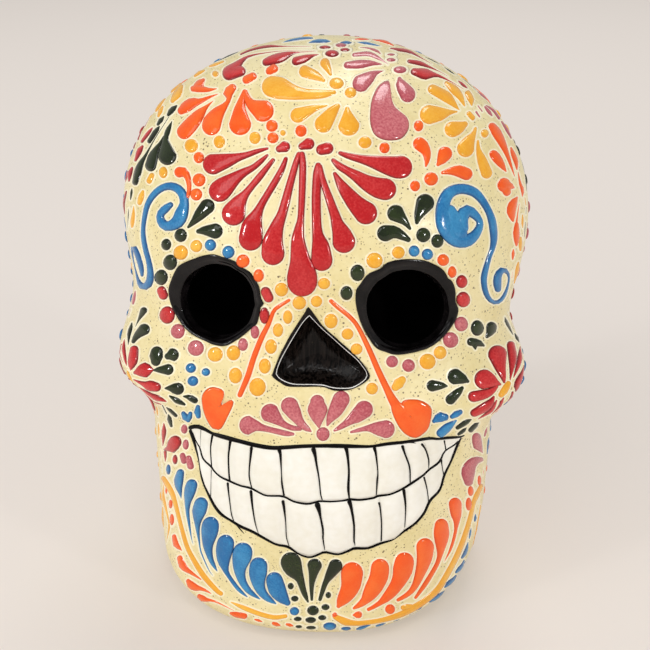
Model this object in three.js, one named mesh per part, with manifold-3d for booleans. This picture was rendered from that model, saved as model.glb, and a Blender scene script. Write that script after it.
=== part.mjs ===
// A glazed earthenware sugar skull: a hollow cast shell with eye and nose cups let into it,
// two rows of teeth bedded in the mouth, and ornament trailed on in raised coloured slip.
// Millimetres, +Z up, the face looks along -Y. The origin is under the middle of the skull, on its base.
import * as THREE from "three";
import { mergeVertices } from "three/addons/utils/BufferGeometryUtils.js";
import Module from "manifold-3d";

const wasm = await Module();
wasm.setup();

// Skull form. Reaches and half widths are measured from the upright axis through the crown.
const SKULL_HEIGHT = 198;
const CRANIUM_LEVEL = 136; // where the dome of the cranium starts
const CRANIUM_HALF_WIDTH = 71.5;
const DOME_FULLNESS = 2.2; // 2 is a round dome, more is fuller
const FOREHEAD_REACH = 70;
const OCCIPUT_REACH = 98;
const JAW_LEVEL = 74; // the sides of the jaw are upright below this
const JAW_HALF_WIDTH = 63;
const FACE_REACH = 69;
const NAPE_LEVEL = 20; // the nape is upright below this
const NAPE_REACH = 58;
const BASE_EDGE_RADIUS = 16;
const FACE_SQUARENESS = 0.45; // added to the exponent of the face's cross-section, where 2 is an ellipse
const SQUARE_FACE_TOP = 150; // the face is square-cut well below this
const SQUARE_FACE_FADE = 60;
const MUZZLE_SWELL = 3;
const MUZZLE_LEVEL = 66;
const MUZZLE_SPREAD = 24;
const BRIDGE_DIP = 2.5; // hollow across the bridge of the nose
const BRIDGE_LEVEL = 124;
const BRIDGE_SPREAD = 15;
const CHEEK_BULGE = 10;
const CHEEK_LEVEL = 92;
const CHEEK_RISE = 14; // the cheekbone fades upwards over this height
const CHEEK_FALL = 10; // and downwards over this one
const CHEEK_BEARING = THREE.MathUtils.degToRad(60);
const CHEEK_SWEEP = THREE.MathUtils.degToRad(24);

// Casting.
const WALL = 6;
const POUR_HOLE_RADIUS = 27; // casting slip is poured in and drained out through the base
const SEAT_GAP = 0.3; // clearance of a piece in or on the shell
const CUT_OVERRUN = 8; // how far a cutting solid runs past the face that it cuts

// Eye cups.
const EYE_OFFSET = 29; // from the middle plane
const EYE_LEVEL = 132;
const EYE_RADIUS = 16.5;
const EYE_LIP = 0.9; // thickness of the cup's edge
const EYE_CHAMFER_DEPTH = 8; // the edge slopes in over this depth
const EYE_THROAT_RADIUS = 13;
const EYE_CUP_WALL = 2.2;
const EYE_CUP_DEPTH = 25;
const EYE_CUP_FLOOR_RADIUS = 8; // rounding between the cup's side and its floor

// Nose cup, a hand-cut triangle that leans a little.
const NOSE_CORNERS = [
  new THREE.Vector2(-11, 106),
  new THREE.Vector2(18.5, 106),
  new THREE.Vector2(0, 132.5),
];
const NOSE_CORNER_CUT = 2.5; // length taken off each side by the rounding of a corner
const NOSE_DEPTH = 8;
const NOSE_CUP_WALL = 1.6;

// Mouth and teeth. Bearings are angles round the axis from straight ahead.
const MOUTH_BEARING = THREE.MathUtils.degToRad(4.5);
const MOUTH_HALF_SPAN = THREE.MathUtils.degToRad(38);
const MOUTH_TOP = 85.5;
const MOUTH_BITE = 66; // height of the line between the rows, at the middle
const MOUTH_BOTTOM = 43; // at the middle
const MOUTH_SWEEP = 3.3; // how late the smile turns up towards its corners
const MOUTH_FILLED = 0.95; // share of the half span that holds teeth
const TEETH_PER_SIDE = 6;
const TOOTH_NARROWING = 0.86; // each tooth's width over that of its neighbour nearer the middle
const TOOTH_GAP = 0.7;
const TOOTH_BED_DEPTH = 2.5;
const TOOTH_CROWN = 0.9; // how far the middle of a tooth stands proud

// Raised slip.
const SLIP_HEIGHT = 1.3;

const FAN_CENTRE = new THREE.Vector2(-2, 178);
const FAN_PETALS = 11;
const FAN_STEP = THREE.MathUtils.degToRad(15.4);
const FAN_INNER_RADIUS = 11;
const FAN_OUTER_RADIUS = 32;
const FAN_MIDDLE_EXTRA = 9.5; // the middle petal hangs lower by this
const FAN_PETAL_WIDTH = 6.4;

const PLUME_WIDTH = 3.9;
const LEFT_PLUMES = {
  count: 8,
  colour: "blue",
  firstHead: new THREE.Vector2(-12.7, 33.5),
  lastHead: new THREE.Vector2(-45.5, 65),
  firstTail: new THREE.Vector2(-7.6, 20.4),
  lastTail: new THREE.Vector2(-46, 53.5),
  headSweep: 1,
  tailSweep: 4,
};
const RIGHT_PLUMES = {
  count: 6,
  colour: "orange",
  firstHead: new THREE.Vector2(14, 39.5),
  lastHead: new THREE.Vector2(48.3, 56),
  firstTail: new THREE.Vector2(9, 20.4),
  lastTail: new THREE.Vector2(46, 30),
  headSweep: 2,
  tailSweep: 4,
};

const SCROLL_LINE = [
  [46, 156], [46.5, 152.5], [42, 151.5], [38.8, 156], [40, 161.5], [45.5, 163.5], [51.2, 159.5],
  [54.4, 151], [54, 141], [53, 133], [55.5, 127.6], [59.5, 127.8], [61, 133],
];
const SCROLL_HEAD_WIDTH = 4.4;
const SCROLL_TAIL_WIDTH = 2.6;

const TEAR_TRAIL_WIDTH = 2.4;
const TEAR_DROP_WIDTH = 10;
const LEFT_TRAIL_LINE = [[-5.6, 134], [-11.2, 128.8], [-14.8, 117.2], [-21.8, 101.8]];
const LEFT_DROP_LINE = [[-30, 89.5], [-29.6, 95.5], [-29, 102]];
const RIGHT_TEAR_LINE = [[6.2, 135], [12.3, 129], [17.2, 117.5], [23.5, 104.5], [30, 96.5], [34, 89]];

// Slip that is one with the shell. Fans whose heads and tails stand on arches across the face:
const LIP_FAN = {
  petals: 7,
  width: 5.6,
  heads: { first: -21.5, last: 23.8, level: 91.4, arch: 12 },
  tails: { first: -4.8, last: 12.8, level: 89.7, arch: 2.5 },
};
const CHIN_LEAVES = {
  petals: 3,
  width: 4.6,
  heads: { first: -7.2, last: 9, level: 40.4, arch: 0 },
  tails: { first: -1.5, last: 3.3, level: 22.6, arch: 0 },
};

// Daisies and fans round the sides and the back, whose petals spread from a place on the skin:
const SIDE_DAISY = {
  petals: 8,
  width: 10.5,
  turn: THREE.MathUtils.degToRad(108),
  level: 132,
  step: THREE.MathUtils.degToRad(45),
  inner: 8,
  outer: 25,
};
const BACK_DAISY = {
  petals: 8,
  width: 12,
  turn: Math.PI,
  level: 138,
  step: THREE.MathUtils.degToRad(45),
  inner: 9.5,
  outer: 30,
};
const REAR_FAN = {
  petals: 5,
  width: 7.6,
  turn: THREE.MathUtils.degToRad(138),
  level: 170,
  step: THREE.MathUtils.degToRad(27),
  inner: 6,
  outer: 23,
};
const NAPE_FAN = {
  petals: 5,
  width: 8.6,
  turn: Math.PI,
  level: 50,
  step: THREE.MathUtils.degToRad(34),
  inner: 7.5,
  outer: 25,
};

// Facets.
const SKIN_SIDES = 52;
const CAVITY_SIDES = 28;
const STROKE_STEPS = 8;
const PETAL_STATIONS = [0, 0.25, 0.45, 0.65, 0.8, 0.92, 1]; // shares of a petal's length
const ROOTED_STATIONS = [0, 0.78, 1];
// Sections of a stroke, in shares of its width and height: one that lies on the shell, and one that is rooted in it.
const SET_ON = { seat: SEAT_GAP, outline: [[-0.5, 0], [0.5, 0], [0.26, 0.95], [-0.26, 0.95]] };
const ROOTED = { seat: 0, outline: [[-0.8, -0.6], [0.8, -0.6], [0, 1]] };

const COLOURS = {
  cream: { color: 0xe9dcab, roughness: 0.25 },
  black: { color: 0x0b0b0c, roughness: 0.12 },
  white: { color: 0xf6f3e8, roughness: 0.18 },
  red: { color: 0xc4202c, roughness: 0.22 },
  blue: { color: 0x2f7cc4, roughness: 0.2 },
  orange: { color: 0xfb6a1e, roughness: 0.22 },
};

const { clamp, lerp } = THREE.MathUtils;
const smooth = (t) => THREE.MathUtils.smoothstep(t, 0, 1);
const bell = (t) => Math.exp(-t * t);
const signedPower = (v, power) => Math.sign(v) * Math.abs(v) ** power;

// How far the skull reaches from its axis at a height, for its outside or for the cavity one wall inside it.
function reachAt(z, inset) {
  const rise = clamp((z - CRANIUM_LEVEL) / (SKULL_HEIGHT - inset - CRANIUM_LEVEL), 0, 1);
  const dome = (1 - rise ** DOME_FULLNESS) ** (1 / DOME_FULLNESS);
  const flare = smooth((z - JAW_LEVEL) / (CRANIUM_LEVEL - JAW_LEVEL));
  const swell = smooth((z - NAPE_LEVEL) / (CRANIUM_LEVEL - NAPE_LEVEL));
  const muzzle = MUZZLE_SWELL * bell((z - MUZZLE_LEVEL) / MUZZLE_SPREAD);
  const bridge = BRIDGE_DIP * bell((z - BRIDGE_LEVEL) / BRIDGE_SPREAD);
  const edgeRadius = BASE_EDGE_RADIUS - inset;
  const belowEdge = clamp(edgeRadius - (z - inset), 0, edgeRadius);
  const edge = edgeRadius - Math.sqrt(edgeRadius ** 2 - belowEdge ** 2);
  const reach = (outer) => (outer - inset) * dome - edge;
  return {
    side: reach(lerp(JAW_HALF_WIDTH, CRANIUM_HALF_WIDTH, flare)),
    front: reach(lerp(FACE_REACH, FOREHEAD_REACH, flare) + muzzle - bridge),
    back: reach(lerp(NAPE_REACH, OCCIPUT_REACH, swell)),
  };
}

// The point of the skin at a turn about the axis and a height. Turn 0 is straight ahead, and it grows towards +X.
function skinPoint(turn, z, inset = 0) {
  const reach = reachAt(z, inset);
  const ahead = Math.cos(turn);
  const across = Math.sin(turn);
  const squareness = ahead > 0 ? FACE_SQUARENESS * smooth((SQUARE_FACE_TOP - z) / SQUARE_FACE_FADE) : 0;
  const power = 2 / (2 + squareness);
  const x = reach.side * signedPower(across, power);
  const y = -(ahead > 0 ? reach.front : reach.back) * signedPower(ahead, power);
  const above = z - CHEEK_LEVEL;
  const bearing = Math.atan2(Math.abs(x), -y);
  const bulge =
    CHEEK_BULGE *
    bell(above / (above > 0 ? CHEEK_RISE : CHEEK_FALL)) *
    bell((bearing - CHEEK_BEARING) / CHEEK_SWEEP);
  const grow = 1 + bulge / Math.max(Math.hypot(x, y), 1);
  return new THREE.Vector3(x * grow, y * grow, z);
}

// The outward normal of the skin.
function skinNormal(turn, z) {
  const step = 1e-3;
  const around = skinPoint(turn + step, z).sub(skinPoint(turn - step, z));
  const upward = skinPoint(turn, z + step).sub(skinPoint(turn, z - step));
  return around.cross(upward).normalize();
}

const liftedPoint = (turn, z, lift) => skinPoint(turn, z).addScaledVector(skinNormal(turn, z), lift);

// The turn at which the front of the skin has a given bearing, or a given distance from the middle plane.
function turnWhere(measure, wanted, z) {
  let low = -Math.PI / 2;
  let high = Math.PI / 2;
  for (let i = 0; i < 40; i++) {
    const middle = (low + high) / 2;
    if (measure(skinPoint(middle, z)) < wanted) low = middle;
    else high = middle;
  }
  return (low + high) / 2;
}
const turnAtBearing = (bearing, z) => turnWhere((p) => Math.atan2(p.x, -p.y), bearing, z);
const turnAtOffset = (x, z) => turnWhere((p) => p.x, x, z);

// A closed solid through a row of closed sections with equal counts of points. Its ends are fans to a middle point.
function loft(sections, startTip = null, endTip = null) {
  const count = sections[0].length;
  const middle = (section) =>
    section.reduce((sum, p) => sum.add(p), new THREE.Vector3()).divideScalar(section.length);
  const last = sections.length - 1;
  const points = [...sections.flat(), startTip ?? middle(sections[0]), endTip ?? middle(sections[last])];
  const startIndex = points.length - 2;
  const endIndex = points.length - 1;
  const index = [];
  for (let j = 0; j < count; j++) {
    const next = (j + 1) % count;
    index.push(startIndex, next, j);
    for (let i = 0; i < last; i++) {
      const a = i * count + j;
      const b = i * count + next;
      index.push(a, b, b + count, a, b + count, a + count);
    }
    index.push(endIndex, last * count + j, last * count + next);
  }
  let volume = 0;
  for (let i = 0; i < index.length; i += 3) {
    const [a, b, c] = [points[index[i]], points[index[i + 1]], points[index[i + 2]]];
    volume += a.dot(b.clone().cross(c));
  }
  if (volume < 0) index.reverse();
  return new THREE.BufferGeometry().setFromPoints(points).setIndex(index);
}

function solidOf(geometry) {
  const bare = geometry.clone();
  bare.deleteAttribute("normal");
  bare.deleteAttribute("uv");
  const merged = mergeVertices(bare);
  return new wasm.Manifold(
    new wasm.Mesh({
      numProp: 3,
      vertProperties: merged.attributes.position.array,
      triVerts: new Uint32Array(merged.index.array),
    }),
  );
}

function geometryOf(solid) {
  const { vertProperties, triVerts } = solid.getMesh();
  const geometry = new THREE.BufferGeometry();
  geometry.setAttribute("position", new THREE.BufferAttribute(vertProperties, 3));
  geometry.setIndex(new THREE.BufferAttribute(triVerts, 1));
  geometry.computeVertexNormals();
  return geometry;
}

// The skull's outside, or its cavity one wall inside, as a solid of level rings from the base to the crown.
function skullSolid(inset, sides, edgeRings, sideRings, domeRings) {
  const floor = inset;
  const edgeTop = BASE_EDGE_RADIUS;
  const domeHeight = SKULL_HEIGHT - inset - CRANIUM_LEVEL;
  const levels = [];
  for (let i = 0; i < edgeRings; i++) {
    levels.push(lerp(floor, edgeTop, 1 - Math.cos((i / edgeRings) * (Math.PI / 2))));
  }
  for (let i = 0; i < sideRings; i++) levels.push(lerp(edgeTop, CRANIUM_LEVEL, i / sideRings));
  for (let i = 0; i < domeRings; i++) {
    levels.push(CRANIUM_LEVEL + domeHeight * Math.sin((i / domeRings) * (Math.PI / 2)));
  }
  const ring = (z) =>
    Array.from({ length: sides }, (_, j) => skinPoint((j / sides) * 2 * Math.PI, z, inset));
  return loft(levels.map(ring), null, new THREE.Vector3(0, 0, SKULL_HEIGHT - inset));
}

// The frame of an eye: its middle on the skin and the way that it looks.
function eyeFrame(side) {
  const turn = turnAtOffset(side * EYE_OFFSET, EYE_LEVEL);
  const frame = new THREE.Matrix4().makeRotationFromQuaternion(
    new THREE.Quaternion().setFromUnitVectors(new THREE.Vector3(0, 1, 0), skinNormal(turn, EYE_LEVEL)),
  );
  return frame.setPosition(skinPoint(turn, EYE_LEVEL));
}

// The cup of an eye, revolved about the way that it looks: a sloping edge, a throat and a round-bottomed bowl.
function eyeCup(side) {
  const bowlRadius = EYE_RADIUS - EYE_CUP_WALL;
  const bowlDepth = EYE_CUP_DEPTH - EYE_CUP_WALL;
  const profile = new THREE.Path();
  profile.moveTo(0, -EYE_CUP_DEPTH);
  profile.lineTo(EYE_RADIUS - EYE_CUP_FLOOR_RADIUS, -EYE_CUP_DEPTH);
  profile.quadraticCurveTo(EYE_RADIUS, -EYE_CUP_DEPTH, EYE_RADIUS, EYE_CUP_FLOOR_RADIUS - EYE_CUP_DEPTH);
  profile.lineTo(EYE_RADIUS, CUT_OVERRUN);
  profile.lineTo(EYE_RADIUS - EYE_LIP, CUT_OVERRUN);
  profile.lineTo(EYE_RADIUS - EYE_LIP, 0);
  profile.lineTo(EYE_THROAT_RADIUS, -EYE_CHAMFER_DEPTH);
  profile.lineTo(bowlRadius, -EYE_CHAMFER_DEPTH - EYE_CUP_WALL);
  profile.lineTo(bowlRadius, EYE_CUP_FLOOR_RADIUS - bowlDepth);
  profile.quadraticCurveTo(bowlRadius, -bowlDepth, bowlRadius - EYE_CUP_FLOOR_RADIUS, -bowlDepth);
  profile.lineTo(0, -bowlDepth);
  const curveDivisions = 4;
  const eyeSides = 20;
  const cup = new THREE.LatheGeometry(profile.getPoints(curveDivisions), eyeSides);
  return cup.applyMatrix4(eyeFrame(side));
}

function eyeHole(side) {
  const holeSides = 28;
  const length = 2 * (WALL + CUT_OVERRUN);
  const radius = EYE_RADIUS + SEAT_GAP;
  return new THREE.CylinderGeometry(radius, radius, length, holeSides).applyMatrix4(eyeFrame(side));
}

// The nose's triangle moved out by a distance, with rounded corners.
function noseOutline(grow) {
  const count = NOSE_CORNERS.length;
  const corner = (i) => NOSE_CORNERS[(i + count) % count];
  const outward = (from, to) => new THREE.Vector2(to.y - from.y, from.x - to.x).normalize();
  const moved = NOSE_CORNERS.map((point, i) => {
    const before = outward(corner(i - 1), point);
    const after = outward(point, corner(i + 1));
    return point.clone().addScaledVector(before.clone().add(after), grow / (1 + before.dot(after)));
  });
  const towards = (from, to) => from.clone().lerp(to, NOSE_CORNER_CUT / from.distanceTo(to));
  const shape = new THREE.Shape();
  moved.forEach((point, i) => {
    const arrive = towards(point, moved[(i + count - 1) % count]);
    const leave = towards(point, moved[(i + 1) % count]);
    if (i === 0) shape.moveTo(arrive.x, arrive.y);
    else shape.lineTo(arrive.x, arrive.y);
    shape.quadraticCurveTo(point.x, point.y, leave.x, leave.y);
  });
  shape.closePath();
  return shape;
}

// The nose outline extruded forwards from a depth behind the face, out past the skin.
function noseBlock(grow, depth) {
  const start = MUZZLE_SWELL + CUT_OVERRUN + depth;
  const block = new THREE.ExtrudeGeometry(noseOutline(grow), {
    depth: start,
    bevelEnabled: false,
    curveSegments: 4,
  });
  return block.rotateX(Math.PI / 2).translate(0, depth - FACE_REACH, 0);
}

// The lines of the mouth at a share of its half span, 0 at the middle and 1 at a corner.
const mouthLine = (middleHeight, share) => lerp(middleHeight, MOUTH_TOP, Math.abs(share) ** MOUTH_SWEEP);
const mouthBearing = (share) => MOUTH_BEARING + share * MOUTH_HALF_SPAN;

// A block that follows the skin between two shares of the mouth and two heights, from below the skin to above it.
function skinBlock(shares, lowAt, highAt, rows, under, overAt) {
  const sections = shares.map((share, i) => {
    const column = shares.length > 1 ? i / (shares.length - 1) : 0;
    const at = (row, lift) => {
      const z = lerp(lowAt(share), highAt(share), row / rows);
      return liftedPoint(turnAtBearing(mouthBearing(share), z), z, lift);
    };
    const below = Array.from({ length: rows + 1 }, (_, row) => at(row, under));
    const above = Array.from({ length: rows + 1 }, (_, row) => at(row, overAt(column, row / rows)));
    return [...below, ...above.reverse()];
  });
  return loft(sections);
}

const evenSteps = (from, to, steps) =>
  Array.from({ length: steps + 1 }, (_, i) => lerp(from, to, i / steps));

// The shares of the half span at which one side's teeth meet, from the middle outwards.
function toothEdges() {
  const widths = Array.from({ length: TEETH_PER_SIDE }, (_, i) => TOOTH_NARROWING ** i);
  const total = widths.reduce((sum, width) => sum + width, 0);
  let edge = 0;
  return [0, ...widths.map((width) => (edge += (MOUTH_FILLED * width) / total))];
}

// The bed that the teeth are let into.
function mouthBed() {
  const columns = 36;
  const rows = 4;
  return skinBlock(
    evenSteps(-MOUTH_FILLED, MOUTH_FILLED, columns),
    (share) => mouthLine(MOUTH_BOTTOM, share) - TOOTH_GAP,
    () => MOUTH_TOP + SEAT_GAP,
    rows,
    -TOOTH_BED_DEPTH,
    () => CUT_OVERRUN,
  );
}

// One tooth, pillowed on its face, between two shares of the mouth.
function tooth(from, to, upper) {
  const columns = 3;
  const rows = 4;
  const gapShare = TOOTH_GAP / 2 / (MOUTH_HALF_SPAN * FACE_REACH);
  const low = (share) => mouthLine(upper ? MOUTH_BITE : MOUTH_BOTTOM, share) + TOOTH_GAP / 2;
  const high = (share) => (upper ? MOUTH_TOP : mouthLine(MOUTH_BITE, share)) - TOOTH_GAP / 2;
  const pillow = (column, row) => TOOTH_CROWN * (1 - (2 * column - 1) ** 4) * (1 - (2 * row - 1) ** 4);
  return skinBlock(
    evenSteps(from + gapShare, to - gapShare, columns),
    low,
    high,
    rows,
    SEAT_GAP - TOOTH_BED_DEPTH,
    pillow,
  );
}

// The place on the skin of a point that is drawn on the frontal plane and wrapped back onto the face.
function onFace({ x, y }) {
  const turn = turnAtOffset(x, y);
  return { point: skinPoint(turn, y), normal: skinNormal(turn, y) };
}

// The turn and height of the skin's point that is nearest to a target close to it.
function nearestOnSkin(target, turn, z) {
  const step = 1e-3;
  const rounds = 8;
  for (let i = 0; i < rounds; i++) {
    const here = skinPoint(turn, z);
    const around = skinPoint(turn + step, z).sub(here).divideScalar(step);
    const upward = skinPoint(turn, z + step).sub(here).divideScalar(step);
    const off = target.clone().sub(here);
    turn += off.dot(around) / around.lengthSq();
    z += off.dot(upward) / upward.lengthSq();
  }
  return { turn, z };
}

// The same for points that are drawn to the right and up from a place on the skin.
function onPatch(turn, level) {
  const middle = skinPoint(turn, level);
  const normal = skinNormal(turn, level);
  const right = new THREE.Vector3(0, 0, 1).cross(normal).normalize();
  const up = normal.clone().cross(right);
  return ({ x, y }) => {
    const target = middle.clone().addScaledVector(right, x).addScaledVector(up, y);
    const place = nearestOnSkin(target, turn, level);
    return { point: skinPoint(place.turn, place.z), normal: skinNormal(place.turn, place.z) };
  };
}

// A raised stroke of slip along a drawn line, with a section at each station along it.
function slipStroke(line, widthAt, stations, section = SET_ON, placeOf = onFace) {
  const curve = new THREE.CatmullRomCurve3(line.map(([x, y]) => new THREE.Vector3(x, y, 0)));
  const places = stations.map((t) => placeOf(curve.getPointAt(t)));
  const sections = places.map(({ point, normal }, i) => {
    const before = places[Math.max(i - 1, 0)].point;
    const after = places[Math.min(i + 1, places.length - 1)].point;
    const side = after.clone().sub(before).cross(normal).normalize();
    const width = widthAt(stations[i]);
    const height = SLIP_HEIGHT * Math.min(1, width / (2 * SLIP_HEIGHT));
    const at = ([across, lift]) =>
      point.clone().addScaledVector(side, across * width).addScaledVector(normal, section.seat + lift * height);
    return section.outline.map(at);
  });
  return loft(sections);
}

// The width along a petal or a drop: thin for a share of its length, swelling to its widest at the neck, then round.
function petalWidth(tail, head, stem = 0.25, neck = 0.8) {
  return (t) => {
    if (t <= neck) return lerp(tail, head, smooth((t - stem) / (neck - stem)));
    return head * Math.max(0.3, Math.sqrt(1 - ((t - neck) / (1 - neck)) ** 2));
  };
}

const TAIL_SHARE = 0.28; // of a petal's width

function petal(from, to, width) {
  const line = [from.toArray(), from.clone().lerp(to, 0.5).toArray(), to.toArray()];
  return slipStroke(line, petalWidth(width * TAIL_SHARE, width), PETAL_STATIONS);
}

function rootedPetal(from, to, width, placeOf) {
  const line = [from.toArray(), to.toArray()];
  const widthAt = petalWidth(width * TAIL_SHARE, width);
  return slipStroke(line, widthAt, ROOTED_STATIONS, ROOTED, placeOf);
}

function archFan(fan) {
  return evenSteps(0, 1, fan.petals - 1).map((t) => {
    const on = ({ first, last, level, arch }) =>
      new THREE.Vector2(lerp(first, last, t), level + arch * (1 - (2 * t - 1) ** 2));
    return rootedPetal(on(fan.tails), on(fan.heads), fan.width, onFace);
  });
}

// Petals that spread from a place on the skin, with the middle of the row upright.
function spreadPetals(spread, side) {
  const placeOf = onPatch(side * spread.turn, spread.level);
  const last = (spread.step * (spread.petals - 1)) / 2;
  return evenSteps(-last, last, spread.petals - 1).map((lean) => {
    const way = new THREE.Vector2(Math.sin(lean), Math.cos(lean));
    const from = way.clone().multiplyScalar(spread.inner);
    return rootedPetal(from, way.multiplyScalar(spread.outer), spread.width, placeOf);
  });
}

function rootedSlip() {
  const paired = [SIDE_DAISY, REAR_FAN];
  return [
    ...archFan(LIP_FAN),
    ...archFan(CHIN_LEAVES),
    ...SIDES.flatMap(([, side]) => paired.flatMap((spread) => spreadPetals(spread, side))),
    ...spreadPetals(BACK_DAISY, 1),
    ...spreadPetals(NAPE_FAN, 1),
  ];
}

const skull = new THREE.Group();

function addPiece(name, geometry, colour) {
  const material = new THREE.MeshStandardMaterial({ ...COLOURS[colour], metalness: 0 });
  const mesh = new THREE.Mesh(geometry, material);
  mesh.name = name;
  skull.add(mesh);
}

const numbered = (name, i) => `${name}_${String(i + 1).padStart(2, "0")}`;
const SIDES = [
  ["left", -1],
  ["right", 1],
];

function addShellAndCups() {
  const outside = solidOf(skullSolid(0, SKIN_SIDES, 4, 21, 10));
  const cavity = solidOf(skullSolid(WALL, CAVITY_SIDES, 3, 10, 6));
  const base = reachAt(0, 0);
  const pourHole = new THREE.CylinderGeometry(POUR_HOLE_RADIUS, POUR_HOLE_RADIUS, 4 * WALL, CAVITY_SIDES)
    .rotateX(Math.PI / 2)
    .translate(0, (base.back - base.front) / 2, 0);
  const noseCup = solidOf(noseBlock(0, NOSE_DEPTH + NOSE_CUP_WALL)).subtract(
    solidOf(noseBlock(-NOSE_CUP_WALL, NOSE_DEPTH)),
  );
  let shell = outside
    .subtract(cavity)
    .subtract(solidOf(pourHole))
    .subtract(solidOf(noseBlock(SEAT_GAP, NOSE_DEPTH + 2 * WALL)))
    .subtract(solidOf(mouthBed()));
  for (const [, side] of SIDES) shell = shell.subtract(solidOf(eyeHole(side)));
  for (const piece of rootedSlip()) shell = shell.add(solidOf(piece));
  addPiece("skull_shell", geometryOf(shell), "cream");
  addPiece("nose_cup", geometryOf(noseCup.intersect(outside)), "black");
  for (const [word, side] of SIDES) {
    addPiece(`eye_cup_${word}`, geometryOf(solidOf(eyeCup(side)).intersect(outside)), "black");
  }
}

function addTeeth() {
  const edges = toothEdges();
  for (const [row, upper] of [["upper", true], ["lower", false]]) {
    for (const [word, side] of SIDES) {
      for (let i = 0; i < TEETH_PER_SIDE; i++) {
        const [from, to] = side > 0 ? [edges[i], edges[i + 1]] : [-edges[i + 1], -edges[i]];
        addPiece(numbered(`${row}_tooth_${word}`, i), tooth(from, to, upper), "white");
      }
    }
  }
}

function addForeheadFan() {
  for (let i = 0; i < FAN_PETALS; i++) {
    const place = i - (FAN_PETALS - 1) / 2;
    const way = new THREE.Vector2(Math.sin(place * FAN_STEP), -Math.cos(place * FAN_STEP));
    const outer = FAN_OUTER_RADIUS + (place === 0 ? FAN_MIDDLE_EXTRA : 0);
    const from = FAN_CENTRE.clone().addScaledVector(way, FAN_INNER_RADIUS);
    const to = FAN_CENTRE.clone().addScaledVector(way, outer);
    addPiece(numbered("forehead_petal", i), petal(from, to, FAN_PETAL_WIDTH), "red");
  }
}

function addPlumes(word, row) {
  for (let i = 0; i < row.count; i++) {
    const t = i / (row.count - 1);
    const between = (first, last, sweep) =>
      new THREE.Vector2(lerp(first.x, last.x, t), lerp(first.y, last.y, t ** sweep));
    const head = between(row.firstHead, row.lastHead, row.headSweep);
    const tail = between(row.firstTail, row.lastTail, row.tailSweep);
    addPiece(numbered(`jaw_plume_${word}`, i), petal(tail, head, PLUME_WIDTH), row.colour);
  }
}

function addScrollsAndTears() {
  const scrollStations = evenSteps(0, 1, 30);
  const scrollWidth = (t) => lerp(SCROLL_HEAD_WIDTH, SCROLL_TAIL_WIDTH, t);
  for (const [word, side] of SIDES) {
    const line = SCROLL_LINE.map(([x, z]) => [side * x, z]);
    addPiece(`brow_scroll_${word}`, slipStroke(line, scrollWidth, scrollStations), "blue");
  }
  const trailStations = evenSteps(0, 1, STROKE_STEPS);
  const tearStations = evenSteps(0, 1, 20);
  const trailShare = 0.64; // of the right tear's length
  const drop = petalWidth(TEAR_TRAIL_WIDTH, TEAR_DROP_WIDTH, 0, 0.55);
  const lateDrop = (t) => drop(Math.max(0, (t - trailShare) / (1 - trailShare)));
  addPiece("tear_trail_left", slipStroke(LEFT_TRAIL_LINE, () => TEAR_TRAIL_WIDTH, trailStations), "orange");
  addPiece("tear_drop_left", slipStroke(LEFT_DROP_LINE, drop, trailStations), "orange");
  addPiece("tear_right", slipStroke(RIGHT_TEAR_LINE, lateDrop, tearStations), "orange");
}

addShellAndCups();
addTeeth();
addForeheadFan();
addPlumes("left", LEFT_PLUMES);
addPlumes("right", RIGHT_PLUMES);
addScrollsAndTears();

// The axis through the crown lies ahead of the middle of the base, so the whole skull moves onto its origin.
const middle = new THREE.Box3().setFromObject(skull).getCenter(new THREE.Vector3());
skull.position.y = -middle.y;
const part = new THREE.Group();
part.add(skull);

export default part;
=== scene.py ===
# A glazed sugar skull: speckled cream glaze, black eye and nose cups, white teeth and raised slip ornament.
import math
import random

import bpy
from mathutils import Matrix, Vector, noise
from mathutils.bvhtree import BVHTree
from mathutils.interpolate import poly_3d_calc
from mathutils.kdtree import KDTree


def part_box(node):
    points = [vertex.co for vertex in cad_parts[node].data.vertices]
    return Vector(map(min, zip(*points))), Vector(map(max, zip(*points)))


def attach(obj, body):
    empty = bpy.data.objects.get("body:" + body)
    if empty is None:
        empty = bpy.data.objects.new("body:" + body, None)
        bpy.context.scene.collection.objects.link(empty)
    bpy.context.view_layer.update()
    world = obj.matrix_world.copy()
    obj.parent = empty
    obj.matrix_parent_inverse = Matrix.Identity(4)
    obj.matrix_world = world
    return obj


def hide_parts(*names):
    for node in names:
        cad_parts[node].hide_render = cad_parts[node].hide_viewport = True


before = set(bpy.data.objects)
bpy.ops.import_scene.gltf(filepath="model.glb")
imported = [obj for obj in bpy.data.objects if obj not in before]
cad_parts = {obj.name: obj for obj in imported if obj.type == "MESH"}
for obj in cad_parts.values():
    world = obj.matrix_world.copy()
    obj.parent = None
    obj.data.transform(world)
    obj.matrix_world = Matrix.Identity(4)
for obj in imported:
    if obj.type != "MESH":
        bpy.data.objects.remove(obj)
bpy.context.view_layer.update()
random.seed(7)

MM = 0.001

# Form of the skull, in millimetres, as in the part's source
SKULL_HEIGHT = 198
CRANIUM_LEVEL = 136
CRANIUM_HALF_WIDTH = 71.5
DOME_FULLNESS = 2.2
FOREHEAD_REACH = 70
OCCIPUT_REACH = 98
JAW_LEVEL = 74
JAW_HALF_WIDTH = 63
FACE_REACH = 69
NAPE_LEVEL = 20
NAPE_REACH = 58
BASE_EDGE_RADIUS = 16
FACE_SQUARENESS = 0.45
SQUARE_FACE_TOP = 150
SQUARE_FACE_FADE = 60
MUZZLE_SWELL = 3
MUZZLE_LEVEL = 66
MUZZLE_SPREAD = 24
BRIDGE_DIP = 2.5
BRIDGE_LEVEL = 124
BRIDGE_SPREAD = 15
CHEEK_BEARING = math.radians(60)
CHEEK_SWEEP = math.radians(24)
WALL = 6
POUR_HOLE_RADIUS = 27
NOSE_DEPTH = 8
NOSE_CUP_WALL = 1.6

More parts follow.
